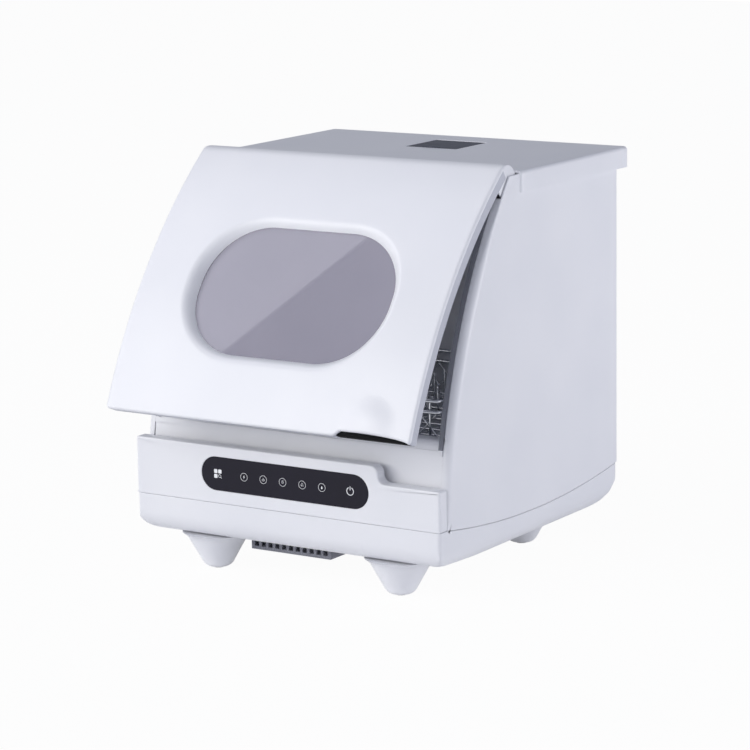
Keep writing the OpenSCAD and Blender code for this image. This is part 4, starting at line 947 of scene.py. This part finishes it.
PAD_H = 1
NOSE_R = 12
TIP_R = 8
CONE = math.radians(29.5)
CONE_TOP = np.array([34.2, PAN_H - 2.5])
nose = [(TIP_R + NOSE_R * math.sin(a), PAD_H + NOSE_R * (1 - math.cos(a)))
        for a in np.linspace(0, math.pi / 2 - CONE, 12)]
cone = [tuple(nose[-1] + t * (CONE_TOP - nose[-1])) for t in (0.25, 0.5, 0.75, 1)]
flare = [(35.0, PAN_H - 0.9), (36.4, PAN_H + 1.2), (38.6, PAN_H + 3.6), (42, PAN_H + 6)]
foot_profile = [(0.5, PAD_H)] + nose + cone + flare
for node in ("foot_front_left", "foot_front_right", "foot_rear_left", "foot_rear_right"):
    low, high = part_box(node)
    centre = ((low[0] + high[0]) / 2 / MM, ((low[1] + high[1]) / 2 - PANEL_FACE) / MM)
    settle(piece(node + "_cone", [turned(foot_profile, centre)], white_abs), "cabinet", node)

# %% [markdown]
# ## Wires by Geometry Nodes
#
# The basket is bent stainless wire, welded where it crosses. Only the paths differ, so the script draws
# the paths as plain edges, and one node tree sweeps a round wire along all of them and rounds the bends.
# A second tree repeats one small part on many points, for the plate tines and the screws.

# %% Node trees


def node_tree(name, *sockets):
    """A geometry node tree with named inputs. Returns the tree and its input node."""
    tree = bpy.data.node_groups.new(name, "GeometryNodeTree")
    tree.interface.new_socket("Geometry", in_out="OUTPUT", socket_type="NodeSocketGeometry")
    tree.interface.new_socket("Geometry", in_out="INPUT", socket_type="NodeSocketGeometry")
    for label, kind in sockets:
        tree.interface.new_socket(label, in_out="INPUT", socket_type=kind)
    return tree, add(tree, "NodeGroupInput")


def finish_tree(tree, given, shape):
    """Ends a tree: smooth shading, real geometry, material."""
    smooth = add(tree, "GeometryNodeSetShadeSmooth", {"Geometry": shape})
    real = add(tree, "GeometryNodeRealizeInstances", {"Geometry": smooth.outputs[0]})
    painted = add(tree, "GeometryNodeSetMaterial", {"Geometry": real.outputs[0],
                                                    "Material": given.outputs["Finish"]})
    add(tree, "NodeGroupOutput", {"Geometry": painted.outputs[0]})
    return tree


tree, given = node_tree("wire_along_paths", ("Wire radius", "NodeSocketFloat"),
                        ("Bend radius", "NodeSocketFloat"), ("Sides", "NodeSocketInt"),
                        ("Finish", "NodeSocketMaterial"))
paths = add(tree, "GeometryNodeMeshToCurve", {"Mesh": given.outputs["Geometry"]})
bends = add(tree, "GeometryNodeFilletCurve", {"Curve": paths.outputs[0], "Count": 5, "Limit Radius": True,
                                              "Radius": given.outputs["Bend radius"]}, mode="POLY")
section = add(tree, "GeometryNodeCurvePrimitiveCircle", {"Resolution": given.outputs["Sides"],
                                                         "Radius": given.outputs["Wire radius"]})
swept = add(tree, "GeometryNodeCurveToMesh", {"Curve": bends.outputs[0], "Profile Curve": section.outputs[0],
                                              "Fill Caps": True})
wire_tree = finish_tree(tree, given, swept.outputs[0])

tree, given = node_tree("part_on_points", ("Part", "NodeSocketObject"), ("Finish", "NodeSocketMaterial"))
part = add(tree, "GeometryNodeObjectInfo", {"Object": given.outputs["Part"], "As Instance": True})
spots = add(tree, "GeometryNodeInstanceOnPoints", {"Points": given.outputs["Geometry"],
                                                   "Instance": part.outputs["Geometry"]})
spot_tree = finish_tree(tree, given, spots.outputs[0])


WIRE_CREASE = math.radians(50)


def grown(name, tree, points, edges, body, *nodes, **inputs):
    """Runs a tree on points and edges and keeps its result as a plain mesh."""
    data = bpy.data.meshes.new(name)
    data.from_pydata([tuple(p) for p in points], edges, [])
    obj = shown(name, data)
    modifier = obj.modifiers.new(tree.name, "NODES")
    modifier.node_group = tree
    sockets = {item.name: item.identifier for item in tree.interface.items_tree if item.in_out == "INPUT"}
    for key, value in inputs.items():
        modifier[sockets[key.replace("_", " ")]] = value
    made = bpy.data.meshes.new_from_object(obj.evaluated_get(bpy.context.evaluated_depsgraph_get()))
    obj.modifiers.clear()
    obj.data = made
    made.set_sharp_from_angle(angle=WIRE_CREASE)
    print(name + ":", len(made.polygons), "faces")
    return settle(obj, body, *nodes)


def wires(name, paths, diameter, bend, *nodes, closed=False, sides=10):
    """Round wires along several paths of millimetre points."""
    points, edges = [], []
    for path in paths:
        first = len(points)
        points += [place(*p) for p in path]
        edges += [(first + i, first + i + 1) for i in range(len(path) - 1)]
        if closed:
            edges.append((len(points) - 1, first))
    return grown(name, wire_tree, points, edges, "cabinet", *nodes, Wire_radius=diameter / 2 * MM,
                 Bend_radius=bend * MM, Sides=sides, Finish=bright_wire)


# %% [markdown]
# ## Dish basket
#
# Two heavy bars make the rim. Thin wires run down one side, along the floor and up the other side, and a
# crossed lattice stiffens the walls. The model's own basket gives the size and the places of the wires.

# %% Basket
low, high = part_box("basket_rim")
RIM_D, WIRE_D, LATTICE_D, TINE_D, TINE_H = 4.5, 3, 2.2, 3, 34
RIM_BEND, WIRE_BEND, RIM_DROP = 22, 7, 13
SIDE_FREE, END_FREE = 24, 28
BASKET_X = high[0] / MM - RIM_D / 2
BASKET_Y = [(low[1] - PANEL_FACE) / MM + RIM_D / 2, (high[1] - PANEL_FACE) / MM - RIM_D / 2]
RIM_Z = high[2] / MM - RIM_D / 2
FLOOR_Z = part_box("basket_floor")[0][2] / MM
INSIDE = RIM_D / 2 + WIRE_D / 2 + 0.1
CROSS_Z = FLOOR_Z + 1.5 * WIRE_D - 0.8
wire_x = np.linspace(SIDE_FREE - BASKET_X, BASKET_X - SIDE_FREE, 11)
wire_y = np.linspace(BASKET_Y[0] + END_FREE, BASKET_Y[1] - END_FREE, 9)
front, back, side = BASKET_Y[0] + INSIDE, BASKET_Y[1] - INSIDE, BASKET_X - INSIDE

loop = [(-BASKET_X, BASKET_Y[0]), (BASKET_X, BASKET_Y[0]), (BASKET_X, BASKET_Y[1]), (-BASKET_X, BASKET_Y[1])]
wires("basket_rim_bars", [[(x, y, z) for x, y in loop] for z in (RIM_Z, RIM_Z - RIM_DROP)], RIM_D, RIM_BEND,
      "basket_rim", closed=True, sides=16)
top, floor_z = RIM_Z + RIM_D / 2, FLOOR_Z + WIRE_D / 2
along_y = [[(x, front, top), (x, front, floor_z), (x, back, floor_z), (x, back, top)] for x in wire_x]
along_x = [[(-side, y, top), (-side, y, CROSS_Z), (side, y, CROSS_Z), (side, y, top)] for y in wire_y]
wires("basket_wires", along_y + along_x, WIRE_D, WIRE_BEND, "basket_floor", "basket_sides")


def zigzag(start, end, z0, z1, pitch):
    """Two crossed zigzags between two points in plan."""
    length = math.dist(start, end)
    count = max(2, round(length / pitch))
    spots = [tuple(a + (b - a) * i / count for a, b in zip(start, end)) for i in range(count + 1)]
    return [[(x, y, (z0, z1)[(i + flip) % 2]) for i, (x, y) in enumerate(spots)] for flip in (0, 1)]


PITCH, CORNER_FREE = 26, 12
LATTICE_Z = (FLOOR_Z + 8, RIM_Z - 15)
deep = WIRE_D / 2 + LATTICE_D / 2 - 0.2
lattice = []
for x in (-side + deep, side - deep):
    lattice += zigzag((x, front + CORNER_FREE), (x, back - CORNER_FREE), *LATTICE_Z, PITCH)
for y in (front + deep, back - deep):
    lattice += zigzag((CORNER_FREE - side, y), (side - CORNER_FREE, y), *LATTICE_Z, PITCH)
wires("basket_lattice", lattice, LATTICE_D, 1.5, sides=8)

# %% Plate tines
SLOTS = 9
RAIL_FREE = 20
rows = [-96, -48, 48, 96]
base_z = CROSS_Z + WIRE_D
tine_y = np.linspace(BASKET_Y[0] + END_FREE, BASKET_Y[1] - END_FREE, SLOTS + 1)
rail_y = (BASKET_Y[0] + RAIL_FREE, BASKET_Y[1] - RAIL_FREE)
wires("tine_rails", [[(x, y, base_z) for y in rail_y] for x in rows], WIRE_D, 1, "plate_tines")
profile = [(0.2, 0), (TINE_D / 2, 0), (TINE_D / 2, TINE_H - 3.2), (1.3, TINE_H - 2.4), (0.8, TINE_H - 1.8),
           (0.2, TINE_H - 1.6)]
a = np.linspace(0, 2 * np.pi, 10, endpoint=False)
loops = [np.stack([r * np.cos(a), r * np.sin(a), np.full_like(a, z)], axis=1) * MM for r, z in profile]
tine = piece("tine", [rings(loops)], bright_wire)
grown("plate_tine_rods", spot_tree, [place(x, y, base_z) for x in rows for y in tine_y], [], "cabinet",
      Part=tine, Finish=bright_wire)
bpy.data.objects.remove(tine)
print("tines:", len(rows) * len(tine_y))

# %% [markdown]
# ## Rear screws
#
# Six pan head screws hold the rear cover. The head's cross recess is real: its outline is joined to the
# round head by rays from the middle, as the window is joined to the lid.

# %% Screws
HEAD_R, ARM, ARM_W = 3.8, 2.1, 0.45
plus = [(ARM, -ARM_W), (ARM, ARM_W), (ARM_W, ARM_W), (ARM_W, ARM), (-ARM_W, ARM), (-ARM_W, ARM_W),
        (-ARM, ARM_W), (-ARM, -ARM_W), (-ARM_W, -ARM_W), (-ARM_W, -ARM), (ARM_W, -ARM), (ARM_W, -ARM_W)]
plus = np.array(plus, dtype=float)
circle = arc((0, 0), 1, -180, 180, 40)[:-1]
angles = shared_angles(np.zeros(2), plus, circle)
round_line = ray_hits(circle, np.zeros(2), angles)
cut = ray_hits(plus, np.zeros(2), angles)
head = [(cut * 0.75, 0.7), (cut, 2.05), (round_line * 2.7, 1.95), (round_line * 3.4, 1.5),
        (round_line * 3.75, 0.8), (round_line * HEAD_R, 0.1)]
loops = [np.stack([line[:, 0], np.full(len(line), h), line[:, 1]], axis=1) * MM for line, h in head]
screw = piece("screw", [rings(loops)], satin_steel)
SCREW_X = BODY_W / 2 - WALL - 8
screw_z = [SEAM_H + 20, (SEAM_H + BODY_H) / 2, BODY_H - 40]
grown("rear_screw_heads", spot_tree, [place(x, BODY_D, z) for x in (-SCREW_X, SCREW_X) for z in screw_z], [],
      "cabinet", "rear_screws", Part=screw, Finish=satin_steel)
bpy.data.objects.remove(screw)

# %% [markdown]
# ## Marks on the touch panel
#
# The marks are screen printed: a menu sign, five ringed programme signs and a power sign. Each is a line
# of even width or a small filled shape, raised by the thickness of the ink.

# %% Touch marks
INK_FRONT, INK_BACK = 0.06, 0.2


def ink(line, dx=0.0, dz=0.0):
    """A filled outline as a thin raised print."""
    line = np.asarray(line, dtype=float) + (dx, TOUCH_Z + dz)
    return rings([place(line[:, 0], y, line[:, 1]) for y in (INK_FRONT, INK_BACK)])


def ink_ring(radius, width, dx, dz=0.0):
    """A printed ring."""
    outer, inner = (arc((dx, TOUCH_Z + dz), r, 0, 360, 40)[:-1] for r in (radius, radius - width))
    return rings([place(line[:, 0], y, line[:, 1]) for line, y in
                  ((outer, INK_FRONT), (outer, INK_BACK), (inner, INK_BACK), (inner, INK_FRONT))], close=True)


def ink_line(points, width, dx=0.0, dz=0.0):
    """A printed line of even width."""
    points = np.asarray(points, dtype=float)
    step = np.gradient(points, axis=0)
    step /= np.linalg.norm(step, axis=1, keepdims=True)
    out = np.stack([-step[:, 1], step[:, 0]], axis=1) * width / 2
    return ink(np.concatenate([points - out, (points + out)[::-1]]), dx, dz)


MENU_X, POWER_X, RING_D, RING_W = -92.5, 91, 9.8, 0.4
BOLD, FINE, WAVE = 0.85, 0.38, 0.36
ring_x = [i * 27 - 1.5 for i in range(-2, 3)]

# Menu: three tiles and a looking glass.
marks = [ink(round_rect(4.7, 4.7, 1, 4), MENU_X + x, z) for x, z in ((-2.9, 2.9), (2.9, 2.9), (-2.9, -2.9))]
marks.append(ink_ring(2.0, 0.5, MENU_X + 2.6, -2.6))
marks.append(ink_line([(1.3, -1.3), (2.6, -2.6)], 0.6, MENU_X + 2.6, -2.6))

# Five ringed programme signs: a bolt, a bowl with steam, a fruit under a leaf, waves under a cap, a drop.
marks += [ink_ring(RING_D / 2, RING_W, x) for x in ring_x]
bolt = [(0.5, 2.4), (-1.2, -0.3), (-0.15, -0.3), (-0.6, -2.4), (1.2, 0.4), (0.15, 0.4)]
marks.append(ink(bolt, ring_x[0]))
bowl = [arc((0, 0.1), 1.7, 180, 360, 12), [(-1.9, 0.1), (1.9, 0.1)], [(0, 0.9), (0, 2.1)]]
marks += [ink_line(line, FINE, ring_x[1]) for line in bowl]
marks += [ink_ring(1.25, FINE, ring_x[2], -0.3), ink_line(arc((0, -0.3), 2.2, 50, 130, 8), FINE, ring_x[2])]
waves = [[(x, 0.28 * math.sin(x * 2.8) + dz) for x in np.linspace(-1.8, 1.8, 17)] for dz in (-1.2, 0.0)]
marks += [ink_line(line, WAVE, ring_x[3]) for line in [*waves, arc((0, 1.0), 1.0, 20, 160, 8)]]
marks.append(ink(np.concatenate([arc((0, -0.7), 1.1, -220, 40, 16), [[0, 2.0]]]), ring_x[4]))

# Power: a ring that is open at the top, and its stroke.
power = [arc((0, 0), 4.5, 115, 425, 40), [(0, 1.2), (0, 5.6)]]
marks += [ink_line(line, BOLD, POWER_X) for line in power]
settle(piece("touch_print", marks, white_ink), "cabinet", "touch_marks")
print("marks:", len(marks))

# %% [markdown]
# ## Light
#
# Plain soft studio light: one large panel in front on the left, a weak one low on the right and a little
# light from everywhere. The floor and the room look white to the eye, but light the plastic only softly.

# %% Stage
white_floor, tree, shader, where = surface("matt_paper_sweep", Roughness=0.9)
tint(tree, shader, where, "#F8F8F9", "#F6F6F7", 400)


def seen_directly(tree, glossy):
    """1 for what the camera sees, also through a window, and a share for what shines in gloss."""
    rays = add(tree, "ShaderNodeLightPath")
    gloss = add(tree, "ShaderNodeMath", {0: rays.outputs["Is Glossy Ray"], 1: glossy}, operation="MULTIPLY")
    seen = gloss
    for ray in ("Is Transmission Ray", "Is Camera Ray"):
        seen = add(tree, "ShaderNodeMath", {0: rays.outputs[ray], 1: seen.outputs[0]}, operation="MAXIMUM")
    return seen.outputs[0]


glow = add(tree, "ShaderNodeEmission", {"Color": (1, 1, 1, 1), "Strength": 1.0})
share = add(tree, "ShaderNodeMath", {0: seen_directly(tree, 0.5), 1: 0.96}, operation="MULTIPLY")
mixed = add(tree, "ShaderNodeMixShader", {0: share.outputs[0], 1: shader.outputs[0], 2: glow.outputs[0]})
tree.links.new(mixed.outputs[0], next(n for n in tree.nodes if n.type == "OUTPUT_MATERIAL").inputs["Surface"])
white_floor.cycles.emission_sampling = "NONE"  # the glow is for the eye only, so no light is looked for on it
bpy.ops.mesh.primitive_plane_add(size=16, location=(0, 0, 0))
floor = bpy.context.object
floor.name = "floor"
floor.data.materials.append(white_floor)

world = bpy.data.worlds.new("soft_room")
bpy.context.scene.world = world
world.use_nodes = True
tree = world.node_tree
tree.nodes.clear()
toward = add(tree, "ShaderNodeSeparateXYZ", {0: add(tree, "ShaderNodeTexCoord").outputs["Generated"]})
height = add(tree, "ShaderNodeMapRange", {"Value": toward.outputs[2], "From Min": 0.0, "From Max": 0.55})
behind = add(tree, "ShaderNodeMapRange", {"Value": toward.outputs[1], "From Min": -0.5, "From Max": 0.5})
shades = []
for low_colour, high_colour in (("#ECEDF1", "#B6BAC8"), ("#B4B7C1", "#343B52")):
    shade = add(tree, "ShaderNodeMix", {0: height.outputs[0], 6: srgb(low_colour), 7: srgb(high_colour)},
                data_type="RGBA")
    shades.append(shade.outputs[2])
walls = add(tree, "ShaderNodeMix", {0: behind.outputs[0], 6: shades[0], 7: shades[1]}, data_type="RGBA")
room = add(tree, "ShaderNodeBackground", {"Color": walls.outputs[2], "Strength": 1.0})
white = add(tree, "ShaderNodeBackground", {"Color": (1, 1, 1, 1), "Strength": 1.0})
seen = add(tree, "ShaderNodeMixShader",
           {0: seen_directly(tree, 0.12), 1: room.outputs[0], 2: white.outputs[0]})
add(tree, "ShaderNodeOutputWorld", {"Surface": seen.outputs[0]})


def soft_light(name, location, aim, size, power, color):
    """A rectangular soft light that faces a point."""
    data = bpy.data.lights.new(name, "AREA")
    data.shape = "RECTANGLE"
    data.size, data.size_y = size
    data.energy = power
    data.color = srgb(color)[:3]
    obj = shown(name, data)
    obj.location = location
    obj.rotation_euler = (Vector(aim) - Vector(location)).to_track_quat("-Z", "Y").to_euler()
    return obj


soft_light("key", (-2.8, -4.2, 2.3), (0, -0.1, 0.25), (3.8, 3.2), 130, "#FFFEFA")
soft_light("fill", (1.9, 0.75, 0.4), (0, 0.1, 0.25), (1.3, 0.9), 12, "#FCFCFF")

# %% [markdown]
# ## Camera
#
# The camera stands where the photograph was taken from. The lens is long and the camera far away, which
# keeps the machine's edges almost parallel.

# %% Camera
camera = bpy.data.cameras.new("camera")
camera.sensor_width = 36
camera.lens = 148.58
camera.clip_end = 50
eye = shown("camera", camera)
right = (0.84310, 0.53755, -0.01451)
up = (-0.09202, 0.17080, 0.98099)
ahead = (-0.52982, 0.82575, -0.19347)
turn = Matrix((right, up, tuple(-v for v in ahead))).transposed()
eye.matrix_world = Matrix.Translation((1.9598, -2.8567 + PANEL_FACE, 0.9330)) @ turn.to_4x4()
bpy.context.scene.camera = eye
print("camera:", round(eye.matrix_world.translation.length, 2), "m away")

# %% [markdown]
# ## The light band in the window
#
# A flat window mirrors the room. Here it mirrors one more softbox, whose straight edge crosses the
# window from its lower left to its upper right. The script finds where that edge has to hang: it sends
# the camera's view of two points to the window and follows the mirrored rays. The softbox shines only
# in gloss, so it adds nothing to the light on the white plastic.

# %% Softbox mirrored in the window
PICTURE = 750
STREAK = ((220, 353), (368, 236))
LIT_SPOT = (240, 260)
STREAK_DISTANCE = 1.5
BOX_W, BOX_H = 1.6, 0.8
pane = Vector(window_point(0.0, 0.0, -WINDOW_DEPTH))
outward = (Vector(window_point(0.0, 0.0, 1.0)) - Vector(window_point(0.0, 0.0, 0.0))).normalized()


def mirrored(u, v):
    """Where the camera's ray through a picture point goes after the window mirrors it."""
    k = camera.sensor_width / camera.lens / PICTURE
    across, down = (u - PICTURE / 2) * k, (v - PICTURE / 2) * k
    ray = (Vector(ahead) + Vector(right) * across - Vector(up) * down).normalized()
    start = eye.matrix_world.translation
    hit = start + ray * ((pane - start).dot(outward) / ray.dot(outward))
    return hit + (ray - 2 * ray.dot(outward) * outward) * STREAK_DISTANCE


ends = [mirrored(*point) for point in STREAK]
edge_mid = (ends[0] + ends[1]) / 2
back = (edge_mid - pane).normalized()
along = ends[1] - ends[0]
side_axis = (along - along.dot(back) * back).normalized()
up_axis = back.cross(side_axis)
lit_side = math.copysign(1, (mirrored(*LIT_SPOT) - edge_mid).dot(up_axis))
centre = edge_mid + up_axis * lit_side * BOX_H / 2
band_light = soft_light("band", centre, pane, (BOX_W, BOX_H), 7.0, "#F6F6FF")
band_light.rotation_euler = Matrix((side_axis, up_axis, back)).transposed().to_euler()
band_light.visible_diffuse = False
band_light.visible_camera = False
print("softbox hangs at", [round(v, 2) for v in centre])
bpy.context.scene.view_settings.view_transform = "Standard"
